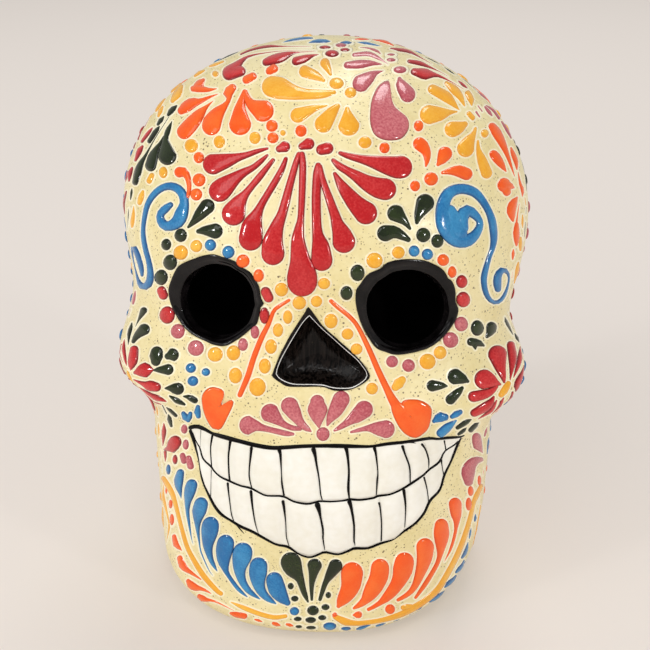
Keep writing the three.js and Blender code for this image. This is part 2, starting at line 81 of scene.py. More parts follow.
# The upright axis of the form, found from the back of the nose cup
AXIS_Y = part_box("nose_cup")[1].y / MM + FACE_REACH - NOSE_DEPTH - NOSE_CUP_WALL

# Hand-made unevenness of the casting: its cheeks, temples and foot aren't alike on the two sides
WAVER = 0.45
WAVER_LENGTH = 45
WAVER_LEVEL = 100
WAVER_UPWARD = 0.4
LEFT_CHEEK = {"size": 8.2, "level": 96.4, "rise": 13.6, "fall": 8.5}
RIGHT_CHEEK = {"size": 9.7, "level": 94.6, "rise": 12, "fall": 12.5}
LEFT_TEMPLE = {"size": 2.5, "level": 122, "rise": 22, "fall": 13}
RIGHT_TEMPLE = {"size": 2.5, "level": 110.5, "rise": 22, "fall": 9}
TEMPLE_BEARING = math.radians(80)
TEMPLE_SWEEP = math.radians(35)
FOOT_TUCK = 4.6
FOOT_TUCK_LEVEL = 38
FOOT_TUCK_BEARING = math.radians(53.5)
FOOT_TUCK_SWEEP = math.radians(29)

# Shares of the way from the crown to the middle of the base where the dome, the sides and the edge end
DOME_END = 0.34
SIDE_END = 0.84
EDGE_END = 0.93
SKIN_SEGMENTS = 168
SKIN_RINGS = 112

# A place inside the head that hidden dots are spread about, and a distance well outside the skull
HEAD_MIDDLE = Vector((0, AXIS_Y + 12, 105)) * MM
FAR_OUT = 0.4

# The photograph's camera, in pixels of its 650 by 650 frame
PHOTO_SIZE = 650
PHOTO_FOCAL = 1000
PHOTO_PIXEL = 0.335
CAMERA_AZIMUTH = math.radians(4)
CAMERA_ELEVATION = math.radians(25)
CAMERA_DISTANCE = 375 * MM
CAMERA_TARGET = Vector((0, AXIS_Y, 95)) * MM
FACE_PIXEL = Vector((318, 330))

# Near its edge the skin turns away: strokes go on along it, no more slanted than the least slant,
# and are drawn narrower by some pixels, since the slip's height shows beside its width
EDGE_FACING = 0.3
LEAST_SLANT = 0.13
SIDEWAYS_RISE = 1.8
GRAZING = 0.15
EDGE_SEARCH_FROM = 150

# Thickness of the raised slip and of the pale halo round it, in millimetres
SLIP_RISE = 0.56
SLIP_DOME = 0.4
SLIP_EDGE = 0.85
HALO_WIDTH = 0.88
HALO_RISE = 0.08
HALO_UNDER_CUP = 0.4
SINK = 0.1


def smooth(t):
    t = min(max(t, 0), 1)
    return t * t * (3 - 2 * t)


def lerp(a, b, t):
    return a + (b - a) * t


def bell(t):
    return math.exp(-t * t)


# Skin of the skull

def reach_at(z):
    """How far the skull reaches from its axis at a height: to the sides, the front and the back."""
    rise = min(max((z - CRANIUM_LEVEL) / (SKULL_HEIGHT - CRANIUM_LEVEL), 0), 1)
    dome = (1 - rise ** DOME_FULLNESS) ** (1 / DOME_FULLNESS)
    flare = smooth((z - JAW_LEVEL) / (CRANIUM_LEVEL - JAW_LEVEL))
    swell = smooth((z - NAPE_LEVEL) / (CRANIUM_LEVEL - NAPE_LEVEL))
    muzzle = MUZZLE_SWELL * bell((z - MUZZLE_LEVEL) / MUZZLE_SPREAD)
    bridge = BRIDGE_DIP * bell((z - BRIDGE_LEVEL) / BRIDGE_SPREAD)
    below = min(max(BASE_EDGE_RADIUS - z, 0), BASE_EDGE_RADIUS)
    edge = BASE_EDGE_RADIUS - math.sqrt(BASE_EDGE_RADIUS ** 2 - below ** 2)
    side = lerp(JAW_HALF_WIDTH, CRANIUM_HALF_WIDTH, flare) * dome - edge
    front = (lerp(FACE_REACH, FOREHEAD_REACH, flare) + muzzle - bridge) * dome - edge
    back = lerp(NAPE_REACH, OCCIPUT_REACH, swell) * dome - edge
    return side, front, back


def strength_at(form, z):
    """How much a cheek stands out or a temple falls in at a height."""
    above = z - form["level"]
    return form["size"] * bell(above / form["rise" if above > 0 else "fall"])


def skin_point(turn, z):
    """The point of the skin at a turn about the axis, 0 straight ahead, and a height."""
    side, front, back = reach_at(z)
    across, ahead = math.sin(turn), math.cos(turn)
    square = FACE_SQUARENESS * smooth((SQUARE_FACE_TOP - z) / SQUARE_FACE_FADE) if ahead > 0 else 0
    power = 2 / (2 + square)
    x = side * math.copysign(abs(across) ** power, across)
    y = -(front if ahead > 0 else back) * math.copysign(abs(ahead) ** power, ahead)
    cheek, temple = (LEFT_CHEEK, LEFT_TEMPLE) if x < 0 else (RIGHT_CHEEK, RIGHT_TEMPLE)
    bearing = math.atan2(abs(x), -y)
    bulge = strength_at(cheek, z) * bell((bearing - CHEEK_BEARING) / CHEEK_SWEEP)
    bulge -= strength_at(temple, z) * bell((bearing - TEMPLE_BEARING) / TEMPLE_SWEEP)
    if x > 0:
        tuck = FOOT_TUCK * smooth((FOOT_TUCK_LEVEL - z) / FOOT_TUCK_LEVEL)
        bulge -= tuck * bell((bearing - FOOT_TUCK_BEARING) / FOOT_TUCK_SWEEP)
    grow = 1 + bulge / max(math.hypot(x, y), 1)
    return Vector((x * grow, y * grow + AXIS_Y, z))


def base_middle():
    _, front, back = reach_at(0)
    return Vector((0, AXIS_Y + (back - front) / 2, 0))


def skull_point(share, turn):
    """A point of the outside: share 0 is the crown and 1 the middle of the base."""
    if share < DOME_END:
        z = CRANIUM_LEVEL + (SKULL_HEIGHT - CRANIUM_LEVEL) * math.cos(share / DOME_END * math.pi / 2)
        return skin_point(turn, z)
    if share < SIDE_END:
        down = (share - DOME_END) / (SIDE_END - DOME_END)
        return skin_point(turn, lerp(CRANIUM_LEVEL, BASE_EDGE_RADIUS, down))
    if share < EDGE_END:
        round_off = (share - SIDE_END) / (EDGE_END - SIDE_END) * math.pi / 2
        return skin_point(turn, BASE_EDGE_RADIUS * (1 - math.sin(round_off)))
    return skin_point(turn, 0).lerp(base_middle(), (share - EDGE_END) / (1 - EDGE_END))


def select_only(obj):
    bpy.ops.object.select_all(action="DESELECT")
    obj.select_set(True)
    bpy.context.view_layer.objects.active = obj


def apply_modifiers(obj):
    select_only(obj)
    for modifier in list(obj.modifiers):
        bpy.ops.object.modifier_apply(modifier=modifier.name)


def make_skin():
    """The skull's outside as a smooth closed mesh, a sphere pulled out to the skull's form."""
    bpy.ops.object.select_all(action="DESELECT")
    bpy.ops.mesh.primitive_uv_sphere_add(segments=SKIN_SEGMENTS, ring_count=SKIN_RINGS, radius=1)
    skin = bpy.context.object
    for vertex in skin.data.vertices:
        share = math.acos(min(max(vertex.co.z, -1), 1)) / math.pi
        point = skull_point(share, math.atan2(vertex.co.x, -vertex.co.y))
        waver = WAVER * noise.noise(point / WAVER_LENGTH) * smooth(point.z / BASE_EDGE_RADIUS)
        upward = WAVER_UPWARD * (point.z - WAVER_LEVEL)
        outward = Vector((point.x, point.y - AXIS_Y, upward)).normalized()
        vertex.co = (point + outward * waver) * MM
    bpy.ops.object.shade_smooth()
    return skin


def way_to(bearing, elevation):
    """The way to a bearing from straight ahead and an elevation."""
    level = math.cos(elevation)
    return Vector((math.sin(bearing) * level, -math.cos(bearing) * level, math.sin(elevation)))


camera_back = way_to(CAMERA_AZIMUTH, CAMERA_ELEVATION)
camera_place = CAMERA_TARGET + camera_back * CAMERA_DISTANCE
camera_turn = camera_back.to_track_quat("Z", "Y")


def sight_line(pixel):
    """The way from the camera through a pixel of the photograph."""
    x = (pixel[0] - PHOTO_SIZE / 2) / PHOTO_FOCAL
    y = (PHOTO_SIZE / 2 - pixel[1]) / PHOTO_FOCAL
    return (camera_turn @ Vector((x, y, -1))).normalized()


class Surface:
    """The skin, asked for the place under a pixel of the photograph or nearest to a point."""

    def __init__(self, mesh):
        self.points = [v.co.copy() for v in mesh.vertices]
        self.normals = [n.vector.copy() for n in mesh.vertex_normals]
        self.faces = [tuple(p.vertices) for p in mesh.polygons]
        self.tree = BVHTree.FromPolygons(self.points, self.faces)
        self.edge = [self.edge_reach(math.radians(a)) for a in range(360)]

    def nearest(self, point):
        place, _, face, _ = self.tree.find_nearest(point)
        corners = self.faces[face]
        weights = poly_3d_calc([self.points[i] for i in corners], place)
        normal = sum((self.normals[i] * w for i, w in zip(corners, weights)), Vector())
        return place, normal.normalized()

    def under_pixel(self, pixel):
        pixel = Vector(pixel).xy
        for _ in range(60):
            place = self.tree.ray_cast(camera_place, sight_line(pixel))[0]
            if place:
                return place
            pixel += (FACE_PIXEL - pixel).normalized()
        raise ValueError(f"no skin near pixel {pixel}")

    def facing(self, place):
        """How squarely the skin at a place faces the camera, 1 at most and less than 0 behind the edge."""
        place, normal = self.nearest(place)
        return normal.dot((camera_place - place).normalized())

    def edge_reach(self, turn):
        """How many pixels from the face's middle the skin begins to turn away from the camera."""
        way = Vector((math.cos(turn), math.sin(turn)))
        reach = EDGE_SEARCH_FROM
        while self.tree.ray_cast(camera_place, sight_line(FACE_PIXEL + way * reach))[0]:
            reach += 2
        while self.facing(self.under_pixel(FACE_PIXEL + way * reach)) < EDGE_FACING:
            reach -= 0.5
        return reach

    def round_edge(self, pixel):
        """The place under a pixel, or as far on round the skull where its skin turns away."""
        out = Vector(pixel).xy - FACE_PIXEL
        turn = math.degrees(math.atan2(out.y, out.x)) % 360
        start = lerp(self.edge[int(turn) % 360], self.edge[(int(turn) + 1) % 360], turn % 1)
        if out.length <= start:
            return self.under_pixel(pixel)
        place = self.under_pixel(FACE_PIXEL + out.normalized() * start)
        sight = (place - camera_place).normalized()
        across = camera_turn @ Vector((out.x, -out.y, 0)).normalized()
        left = (out.length - start) * (place - camera_place).length / PHOTO_FOCAL
        while left > MM / 1000:
            normal = self.nearest(place)[1]
            slope = Vector((normal.dot(across), -normal.dot(sight))).normalized()
            slant = max(slope.y, LEAST_SLANT)
            step = min(MM, left / slant)
            place = self.nearest(place + (across * slope.y + sight * slope.x) * step)[0]
            left -= step * slant
        return place

    def seen_from(self, bearing, elevation):
        """The place on the skin at a bearing and an elevation, in degrees, from the head's middle."""
        way = way_to(math.radians(bearing), math.radians(elevation))
        return self.tree.ray_cast(HEAD_MIDDLE + way * FAR_OUT, -way)[0]

    def in_photo(self, point, slack):
        """Whether the photograph's camera sees a place, or nearly does."""
        place, normal = self.nearest(point)
        way = (camera_place - place).normalized()
        if normal.dot(way) < slack:
            return False
        return normal.dot(way) < GRAZING or self.tree.ray_cast(place + normal * MM, way)[0] is None


skin_object = make_skin()
surface = Surface(skin_object.data)


# Node groups and materials

def node(tree, kind, inputs=None, **settings):
    made = tree.nodes.new(kind)
    for name, value in settings.items():
        setattr(made, name, value)
    for name, value in (inputs or {}).items():
        if isinstance(value, bpy.types.NodeSocket):
            tree.links.new(value, made.inputs[name])
        else:
            made.inputs[name].default_value = value
    return made


def new_group(name, inputs, outputs):
    group = bpy.data.node_groups.new(name, "ShaderNodeTree")
    for socket, default in inputs.items():
        made = group.interface.new_socket(socket, in_out="INPUT", socket_type="NodeSocketFloat")
        made.default_value = default
    for socket in outputs:
        group.interface.new_socket(socket, in_out="OUTPUT", socket_type="NodeSocketFloat")
    return group, group.nodes.new("NodeGroupInput"), group.nodes.new("NodeGroupOutput")


def make_speck_group():
    """Dark specks of iron in the glaze: a mask of scattered dots of uneven size."""
    group, given, out = new_group("iron_specks", {"Scale": 600, "Size": 0.16, "Share": 0.5}, ["Mask"])
    coords = group.nodes.new("ShaderNodeTexCoord")
    cells = node(group, "ShaderNodeTexVoronoi", {
        "Vector": coords.outputs["Object"], "Scale": given.outputs["Scale"]})
    chance = node(group, "ShaderNodeSeparateColor", {"Color": cells.outputs["Color"]})
    present = node(group, "ShaderNodeMath", {0: chance.outputs["Red"], 1: given.outputs["Share"]},
                   operation="LESS_THAN")
    size = node(group, "ShaderNodeMath", {0: chance.outputs["Green"], 1: given.outputs["Size"]},
                operation="MULTIPLY")
    inside = node(group, "ShaderNodeMath", {0: cells.outputs["Distance"], 1: size.outputs[0]},
                  operation="LESS_THAN")
    mask = node(group, "ShaderNodeMath", {0: inside.outputs[0], 1: present.outputs[0]},
                operation="MULTIPLY")
    group.links.new(mask.outputs[0], out.inputs["Mask"])
    return group


def make_mottle_group():
    """Cloudy unevenness of a brushed or trailed colour, with its fine grain: 0 is thin and 1 is thick."""
    group, given, out = new_group("mottle", {"Cloud": 90, "Grain": 1600, "Grain Share": 0.4}, ["Value"])
    coords = group.nodes.new("ShaderNodeTexCoord")
    cloud = node(group, "ShaderNodeTexNoise", {
        "Vector": coords.outputs["Object"], "Scale": given.outputs["Cloud"], "Detail": 3.0})
    grain = node(group, "ShaderNodeTexNoise", {
        "Vector": coords.outputs["Object"], "Scale": given.outputs["Grain"], "Detail": 2.0})
    both = node(group, "ShaderNodeMix", {
        "Factor": given.outputs["Grain Share"], 2: cloud.outputs[0], 3: grain.outputs[0]})
    spread = node(group, "ShaderNodeMapRange", {
        "Value": both.outputs[0], "From Min": 0.36, "From Max": 0.64})
    group.links.new(spread.outputs[0], out.inputs["Value"])
    return group


def make_streak_group():
    """Upright brush streaks, fine across and long up and down."""
    group, given, out = new_group("brush_streaks", {"Scale": 500, "Stretch": 0.06}, ["Value"])
    coords = group.nodes.new("ShaderNodeTexCoord")
    shrink = node(group, "ShaderNodeCombineXYZ", {"X": 1, "Y": 1, "Z": given.outputs["Stretch"]})
    drawn = node(group, "ShaderNodeVectorMath", {0: coords.outputs["Object"], 1: shrink.outputs[0]},
                 operation="MULTIPLY")
    streaks = node(group, "ShaderNodeTexNoise", {
        "Vector": drawn.outputs[0], "Scale": given.outputs["Scale"], "Detail": 3.0})
    spread = node(group, "ShaderNodeMapRange", {
        "Value": streaks.outputs[0], "From Min": 0.38, "From Max": 0.66})
    group.links.new(spread.outputs[0], out.inputs["Value"])
    return group


speck_group = make_speck_group()
mottle_group = make_mottle_group()
streak_group = make_streak_group()


def new_material(name, roughness):
    material = bpy.data.materials.new(name)
    material.use_nodes = True
    shader = material.node_tree.nodes["Principled BSDF"]
    shader.inputs["Roughness"].default_value = roughness
    shader.inputs["IOR"].default_value = 1.5
    return material, material.node_tree, shader


def grouped(tree, group, **values):
    made = tree.nodes.new("ShaderNodeGroup")
    made.node_tree = group
    for name, value in values.items():
        made.inputs[name.replace("_", " ")].default_value = value
    return made


def mix_colour(tree, factor, first, second):
    made = node(tree, "ShaderNodeMix", data_type="RGBA")
    for socket, value in ((0, factor), (6, first), (7, second)):
        if isinstance(value, bpy.types.NodeSocket):
            tree.links.new(value, made.inputs[socket])
        else:
            made.inputs[socket].default_value = value
    return made.outputs[2]


def colour(red, green, blue):
    """A colour as the eye reads it, 0 to 255, as a linear shader value."""
    def linear(v):
        v /= 255
        return v / 12.92 if v <= 0.04045 else ((v + 0.055) / 1.055) ** 2.4
    return linear(red), linear(green), linear(blue), 1


def roughen(tree, shader, low, high, height, scale):
    """Uneven gloss, and the faint dimples of a fired glaze."""
    mottle = grouped(tree, mottle_group, Cloud=scale, Grain=scale * 5, Grain_Share=0.25)
    gloss = node(tree, "ShaderNodeMapRange", {
        "Value": mottle.outputs["Value"], "To Min": low, "To Max": high})
    tree.links.new(gloss.outputs[0], shader.inputs["Roughness"])
    bump = node(tree, "ShaderNodeBump", {
        "Height": mottle.outputs["Value"], "Distance": height * MM, "Strength": 0.6})
    tree.links.new(bump.outputs["Normal"], shader.inputs["Normal"])


def cream_glaze():
    """Cream glaze with specks, paler and clean in the halo round each stroke of slip."""
    material, tree, shader = new_material("cream_glaze", 0.2)
    mottle = grouped(tree, mottle_group, Cloud=55, Grain=700, Grain_Share=0.35)
    base = mix_colour(tree, mottle.outputs["Value"], colour(233, 217, 157), colour(245, 232, 182))
    fine = grouped(tree, speck_group, Scale=1100, Size=0.34, Share=0.7)
    coarse = grouped(tree, speck_group, Scale=760, Size=0.26, Share=0.85)
    base = mix_colour(tree, fine.outputs["Mask"], base, colour(190, 172, 124))
    base = mix_colour(tree, coarse.outputs["Mask"], base, colour(128, 112, 82))
    halo = node(tree, "ShaderNodeAttribute", attribute_name="halo")
    pale = node(tree, "ShaderNodeMapRange", {
        "Value": halo.outputs["Fac"], "From Min": 0.15, "From Max": 0.8})
    base = mix_colour(tree, pale.outputs[0], base, colour(254, 247, 215))
    tree.links.new(base, shader.inputs["Base Color"])
    roughen(tree, shader, 0.26, 0.42, 0.1, 160)
    return material


def slip_glaze(name, thick, thin, edge, grain=0.4):
    """Raised coloured slip under glaze: uneven in the middle and darker along its edges."""
    material, tree, shader = new_material(name, 0.15)
    mottle = grouped(tree, mottle_group, Cloud=150, Grain=1500, Grain_Share=grain)
    crest = node(tree, "ShaderNodeAttribute", attribute_name="crest")
    tone = node(tree, "ShaderNodeAttribute", attribute_name="tone")
    lean = node(tree, "ShaderNodeMath", {0: mottle.outputs["Value"], 1: tone.outputs["Fac"]},
                operation="ADD", use_clamp=True)
    # The thin colour, which a stroke's tail leans to, is partly the paler thin slip and partly a painted
    # sheen.
    body = mix_colour(tree, lean.outputs[0], colour(*thick), colour(*thin))
    rim = node(tree, "ShaderNodeMapRange", {
        "Value": crest.outputs["Fac"], "From Min": 0.15, "From Max": 0.75})
    body = mix_colour(tree, rim.outputs[0], colour(*edge), body)
    tree.links.new(body, shader.inputs["Base Color"])
    roughen(tree, shader, 0.07, 0.16, 0.05, 260)
    return material


def plain_glaze(name, deep, pale, low, high, cloud, shine=0.5):
    material, tree, shader = new_material(name, low)
    shader.inputs["Specular IOR Level"].default_value = shine
    mottle = grouped(tree, mottle_group, Cloud=cloud, Grain=cloud * 8, Grain_Share=0.3)
    base = mix_colour(tree, mottle.outputs["Value"], colour(*deep), colour(*pale))
    tree.links.new(base, shader.inputs["Base Color"])
    roughen(tree, shader, low, high, 0.05, 150)
    return material


def brushed_black():
    """Black glaze that was brushed up and down, for the nose."""
    material, tree, shader = new_material("nose_black", 0.1)
    streaks = grouped(tree, streak_group, Scale=1200, Stretch=0.05)
    base = mix_colour(tree, streaks.outputs["Value"], colour(2, 1, 1), colour(32, 26, 23))
    tree.links.new(base, shader.inputs["Base Color"])
    shader.inputs["Specular IOR Level"].default_value = 0.15
    bump = node(tree, "ShaderNodeBump", {
        "Height": streaks.outputs["Value"], "Distance": 0.08 * MM, "Strength": 0.7})
    tree.links.new(bump.outputs["Normal"], shader.inputs["Normal"])
    return material


def unlit_black():
    """Matte black without gloss for the inside of an eye: painted shade for the dark hollow behind the eye.
    """
    material, tree, shader = new_material("eye_painted_shade", 0.9)
    mottle = grouped(tree, mottle_group, Cloud=120, Grain=900, Grain_Share=0.3)
    base = mix_colour(tree, mottle.outputs["Value"], colour(2, 2, 2), colour(7, 6, 6))
    tree.links.new(base, shader.inputs["Base Color"])
    shader.inputs["Specular IOR Level"].default_value = 0
    return material


CREAM = cream_glaze()
BLACK = plain_glaze("black_glaze", (4, 3, 3), (24, 21, 22), 0.08, 0.2, 220, 0.22)
NOSE_BLACK = brushed_black()
# The eye's bowl is matte black with no reflection: painted shade for the dark hollow inside the skull.
EYE_PAINTED_SHADE = unlit_black()
LINE = plain_glaze("black_line", (3, 2, 2), (12, 10, 9), 0.2, 0.4, 300, 0.1)
WHITE = plain_glaze("white_glaze", (243, 239, 224), (251, 249, 240), 0.1, 0.2, 60)
PALE = plain_glaze("pale_line", (244, 242, 236), (254, 253, 250), 0.15, 0.3, 200)
SLIPS = {
    "red_slip": slip_glaze("red_slip", (188, 18, 26), (212, 58, 58), (124, 8, 18), 0.6),
    "pink_slip": slip_glaze("pink_slip", (182, 78, 90), (212, 124, 128), (172, 74, 86), 0.75),
    "orange_slip": slip_glaze("orange_slip", (249, 90, 14), (252, 112, 38), (236, 84, 20), 0.3),
    "yellow_slip": slip_glaze("yellow_slip", (243, 168, 38), (250, 192, 72), (238, 168, 56), 0.4),
    "green_slip": slip_glaze("green_slip", (18, 30, 5), (40, 54, 18), (14, 20, 8), 0.4),
    "blue_slip": slip_glaze("blue_slip", (26, 110, 170), (60, 146, 198), (20, 80, 136), 0.4),
}


# Drawn lines

def curve_through(knots, closed=False, steps=8):
    """Places on a smooth curve through knots, each place with as many values as a knot has."""
    knots = [Vector(k) for k in knots]
    if closed:
        run = [knots[-1], *knots, knots[0], knots[1]]
    else:
        run = [knots[0] * 2 - knots[1], *knots, knots[-1] * 2 - knots[-2]]
    places = []
    for a, b, c, d in zip(run, run[1:], run[2:], run[3:]):
        for i in range(steps):
            t = i / steps
            places.append(0.5 * (2 * b + (c - a) * t + (2 * a - 5 * b + 4 * c - d) * t ** 2
                                 + (3 * b - a - 3 * c + d) * t ** 3))
    places.append(knots[0] if closed else knots[-1])
    return places


def evenly(places, gap, least):
    """The same curve as places a gap or less apart."""
    lengths = [0]
    for a, b in zip(places, places[1:]):
        lengths.append(lengths[-1] + (b.xy - a.xy).length)
    count = max(least, round(lengths[-1] / gap))
    spots = []
    i = 1
    for k in range(count + 1):
        wanted = lengths[-1] * k / count
        while i < len(lengths) - 1 and lengths[i] < wanted:
            i += 1
        t = (wanted - lengths[i - 1]) / max(lengths[i] - lengths[i - 1], 1e-9)
        spots.append(places[i - 1].lerp(places[i], min(t, 1)))
    return spots


ROUND_END = [math.radians(a) for a in (90, 80, 67, 52, 36, 18)]


class Row:
    """One row across a stroke: where it is, its half width, the stroke's own, and how far past the end."""

    def __init__(self, place, side, half, own, beyond):
        self.place = place
        self.side = side
        self.half = half
        self.own = own
        self.beyond = beyond

    def depth(self, column):
        """How far a share of the half width lies inside the stroke's outline, less than 0 outside it."""
        return self.own - math.hypot(self.beyond, column * self.half)


OVAL = [math.radians(a) for a in (-90, -72, -50, -25, 0, 25, 50, 72, 90)]


class OvalRow(Row):
    """One row across an oval dot, whose two half widths are its own."""

    def __init__(self, middle, halves, grow, turn):
        beyond = (halves.y + grow) * math.sin(turn)
        half = (halves.x + grow) * math.cos(turn)
        super().__init__(middle + Vector((0, beyond)), Vector((-1, 0)), half, min(halves), beyond)
        self.halves = halves

    def depth(self, column):
        return self.own * (1 - math.hypot(self.beyond / self.halves.y, column * self.half / self.halves.x))


def oval_rows(middle, halves, grow=0):
    return [OvalRow(middle, halves, grow, turn) for turn in OVAL]


def round_end(spot, way, side, half, own, turns):
    rows = []
    for turn in turns:
        beyond = half * math.sin(turn)
        rows.append(Row(spot.xy + way * beyond, side, half * math.cos(turn), own, beyond))
    return rows


def stroke_rows(knots, gap, grow=0):
    """Rows from the tail of a stroke to its head, with round ends, through knots with a width each."""
    spots = evenly(curve_through(knots), gap, 2)
    last = len(spots) - 1
    rows = []
    for i, spot in enumerate(spots):
        way = (spots[min(i + 1, last)] - spots[max(i - 1, 0)]).xy.normalized()
        side = Vector((-way.y, way.x))
        own = max(spot.z, 0.5) / 2
        half = own + grow
        if i == 0:
            rows += round_end(spot, -way, side, half, own, ROUND_END)
        rows.append(Row(spot.xy, side, half, own, 0))
        if i == last:
            rows += round_end(spot, way, side, half, own, ROUND_END[::-1])
    return rows


# Hand-painted outlines of the eyes and the nose and the throats of the eyes, in pixels of the photograph

EYES = {
    "left": {
        "throat": (222.5, 298.5),
        "throat_half": (35.5, 36.5),
        "outline": [
            (212, 254), (198, 257), (181, 264), (175, 271), (170, 283), (168.5, 290), (170, 301),
            (175, 313), (183, 326), (193, 335), (207, 342), (214, 345), (226, 346), (240, 338),
            (251, 329), (257, 324), (260, 312), (261, 307), (264, 304), (261, 297), (259, 286),
            (252, 274), (249, 271), (239, 265), (235, 261), (222, 256.5),
        ],
    },
    "right": {
        "throat": (405, 306.5),
        "throat_half": (39.5, 38),
        "outline": [
            (356, 290), (355.5, 303), (359, 318), (365, 332), (375, 347), (385, 352), (398, 355),
            (420, 351), (434, 345), (446, 334), (455, 321), (458.5, 310), (455.5, 301), (455.5, 290),
            (452, 280.5), (449, 279), (443, 269.5), (431, 262.5), (420, 259.5), (404, 259), (388, 262),
            (380, 268.5), (370, 272.5), (365, 277), (360, 284),
        ],
    },
}
NOSE_OUTLINE = [
    (308.3, 306.6), (305, 312), (296, 325.6), (287.5, 339.6), (279, 356.5), (272, 374.7), (273.5, 378),
    (280.5, 383), (287.5, 386.6), (304, 387), (322.6, 387), (335, 390.8), (349, 390), (359, 386),
    (367.5, 380.3), (370, 374.7), (362, 362), (350, 350), (342, 343), (333, 335), (324, 327), (317, 318),
]
NOSE_LINE = [
    (309.5, 315.2), (305.2, 319.1), (299.1, 327.5), (287.7, 346.6), (280, 361.2), (276.3, 373),
    (279, 377.6), (286.1, 381.8), (295.3, 384.1), (310.6, 384.3), (322.8, 384.9), (329, 386.6),
    (336.6, 388), (348.9, 388), (355, 386.3), (362.6, 381.5), (366.8, 376.8), (366.3, 371.9),
    (361.1, 364.2), (356.5, 358.9), (350.4, 353.5), (345, 348.9), (336.6, 341.3), (329, 334.4),
    (322.8, 329), (316, 322.1),
]


def encloses(outline, pixel):
    """Whether an outline goes round a pixel."""
    inside = False
    for (x0, y0), (x1, y1) in zip(outline, outline[1:] + outline[:1]):
        if (y0 > pixel[1]) != (y1 > pixel[1]) and pixel[0] < lerp(x0, x1, (pixel[1] - y0) / (y1 - y0)):
            inside = not inside
    return inside


class Photo:
    """Draws in pixels of the photograph, laid on the skin that those pixels show."""

    unit = PHOTO_PIXEL
    gap = 4
    stretch = 4
    dot_spread = 1.1

    def spread(self, knots, most):
        """The knots of a stroke as wide as the slip ran, less where its height shows beside its width."""
        run = []
        for x, y, width in knots:
            aside = 1 - max(surface.facing(self.spot((x, y))), EDGE_FACING)
            grown = width + min(most, 0.45 * width) - SIDEWAYS_RISE * aside
            run.append((x, y, max(grown, 0.75 * width)))
        return run

    def under_cup(self, pixel):
        """Whether a pixel lies within the black edge of an eye or the nose."""
        outlines = [eye["outline"] for eye in EYES.values()] + [NOSE_OUTLINE]
        return any(encloses(outline, pixel) for outline in outlines)

    def places(self, rows):
        """The left, middle and right of each row on the skin, with no leap between its parts."""
        spots = [[self.spot(row.place + row.side * row.half * k) for k in (-1, 0, 1)] for row in rows]
        for row, spot in zip(rows, spots):
            for end in (0, 2):
                spot[end] = spot[1] + self.kept_short(spot[end] - spot[1], row.half)
        first = max(range(len(rows)), key=lambda i: surface.facing(spots[i][1]))
        for order in (range(first + 1, len(rows)), range(first - 1, -1, -1)):
            before = first
            for i in order:
                step = spots[i][1] - spots[before][1]
                shift = self.kept_short(step, (rows[i].place - rows[before].place).length) - step
                spots[i] = [p + shift for p in spots[i]]
                before = i
        return spots

    def kept_short(self, step, pixels):
        """A step on the skin, cut to what so many pixels can span."""
        return step * min(1, self.stretch * pixels * self.unit * MM / max(step.length, 1e-9))

    def spot(self, pixel):
        return surface.round_edge(pixel)


class Patch:
    """Draws in millimetres on a patch of skin, right and up from its middle."""

    unit = 1
    gap = 1.7
    dot_spread = 0

    def __init__(self, place, lean=0):
        self.middle, normal = surface.nearest(place)
        right = Vector((0, 0, 1)).cross(normal).normalized()
        up = normal.cross(right)
        turn = math.radians(lean)
        self.right = right * math.cos(turn) + up * math.sin(turn)
        self.up = up * math.cos(turn) - right * math.sin(turn)

    def spread(self, knots, most):
        return knots

    def under_cup(self, place):
        return False

    def places(self, rows):
        return [[self.spot(row.place + row.side * row.half * k) for k in (-1, 0, 1)] for row in rows]

    def spot(self, place):
        return surface.nearest(self.middle + (self.right * place.x + self.up * place.y) * MM)[0]


def skin_patch(turn, level, lean=0):
    return Patch(skin_point(math.radians(turn), level) * MM, lean)


photo = Photo()


# Raised slip

def slip_height(depth, half):
    """The height of slip at a depth inside its outline: round-edged and a little domed."""
    edge = min(SLIP_EDGE, half)
    inside = min(max(depth / edge, 0), 1)
    swell = 1 - ((half - min(max(depth, 0), half)) / half) ** 2
    full = SLIP_RISE * min(1, half / 1.0)
    height = full * math.sqrt(1 - (1 - inside) ** 2) + SLIP_DOME * swell * min(1, half / 2.5)
    return height - SINK * (1 - inside), inside


def halo_height(outside):
    """The height of the halo at a distance outside the stroke's outline, and its strength."""
    strength = 1 - min(max(outside / HALO_WIDTH, 0), 1)
    return HALO_RISE * smooth(strength) - 0.04 * (1 - strength), strength


class Slip:
    """A piece of slip: strokes that follow the skin, each domed and closed underneath."""

    def __init__(self):
        self.points = []
        self.faces = []
        self.crest = []
        self.tone = []

    def put(self, place, height, crest, tone):
        place, normal = surface.nearest(place)
        place += normal * height * MM
        place.z = max(place.z, 0)
        self.points.append(place)
        self.crest.append(crest)
        self.tone.append(tone)

    def add_grid(self, rows, columns):
        """Faces over the last rows and columns of points, and one under each row."""
        start = len(self.points) - rows * columns
        for i in range(rows - 1):
            a = start + i * columns
            b = a + columns
            for j in range(columns - 1):
                self.faces.append((a + j, a + j + 1, b + j + 1, b + j))
            self.faces.append((a + columns - 1, a, b, b + columns - 1))

    def add_rings(self, rings, count):
        """Faces over the last rings of points, from the outermost in to the middle, and one under them."""
        start = len(self.points) - rings * count
        for i in range(rings - 1):
            for j in range(count):
                a = start + i * count + j
                b = start + i * count + (j + 1) % count
                self.faces.append((a, b, b + count, a + count))
        self.faces.append(tuple(range(start, start + count)))

    def finish(self, name, material, slot, *nodes, attributes=("crest", "tone")):
        if not self.faces:
            return
        mesh = bpy.data.meshes.new(name)
        mesh.from_pydata(self.points, [], self.faces)
        for attribute, values in zip(attributes, (self.crest, self.tone)):
            mesh.attributes.new(attribute, "FLOAT", "POINT").data.foreach_set("value", values)
        piece = bpy.data.objects.new(name, mesh)
        bpy.context.scene.collection.objects.link(piece)
        close(piece)
        dress(piece, material, slot, *nodes)


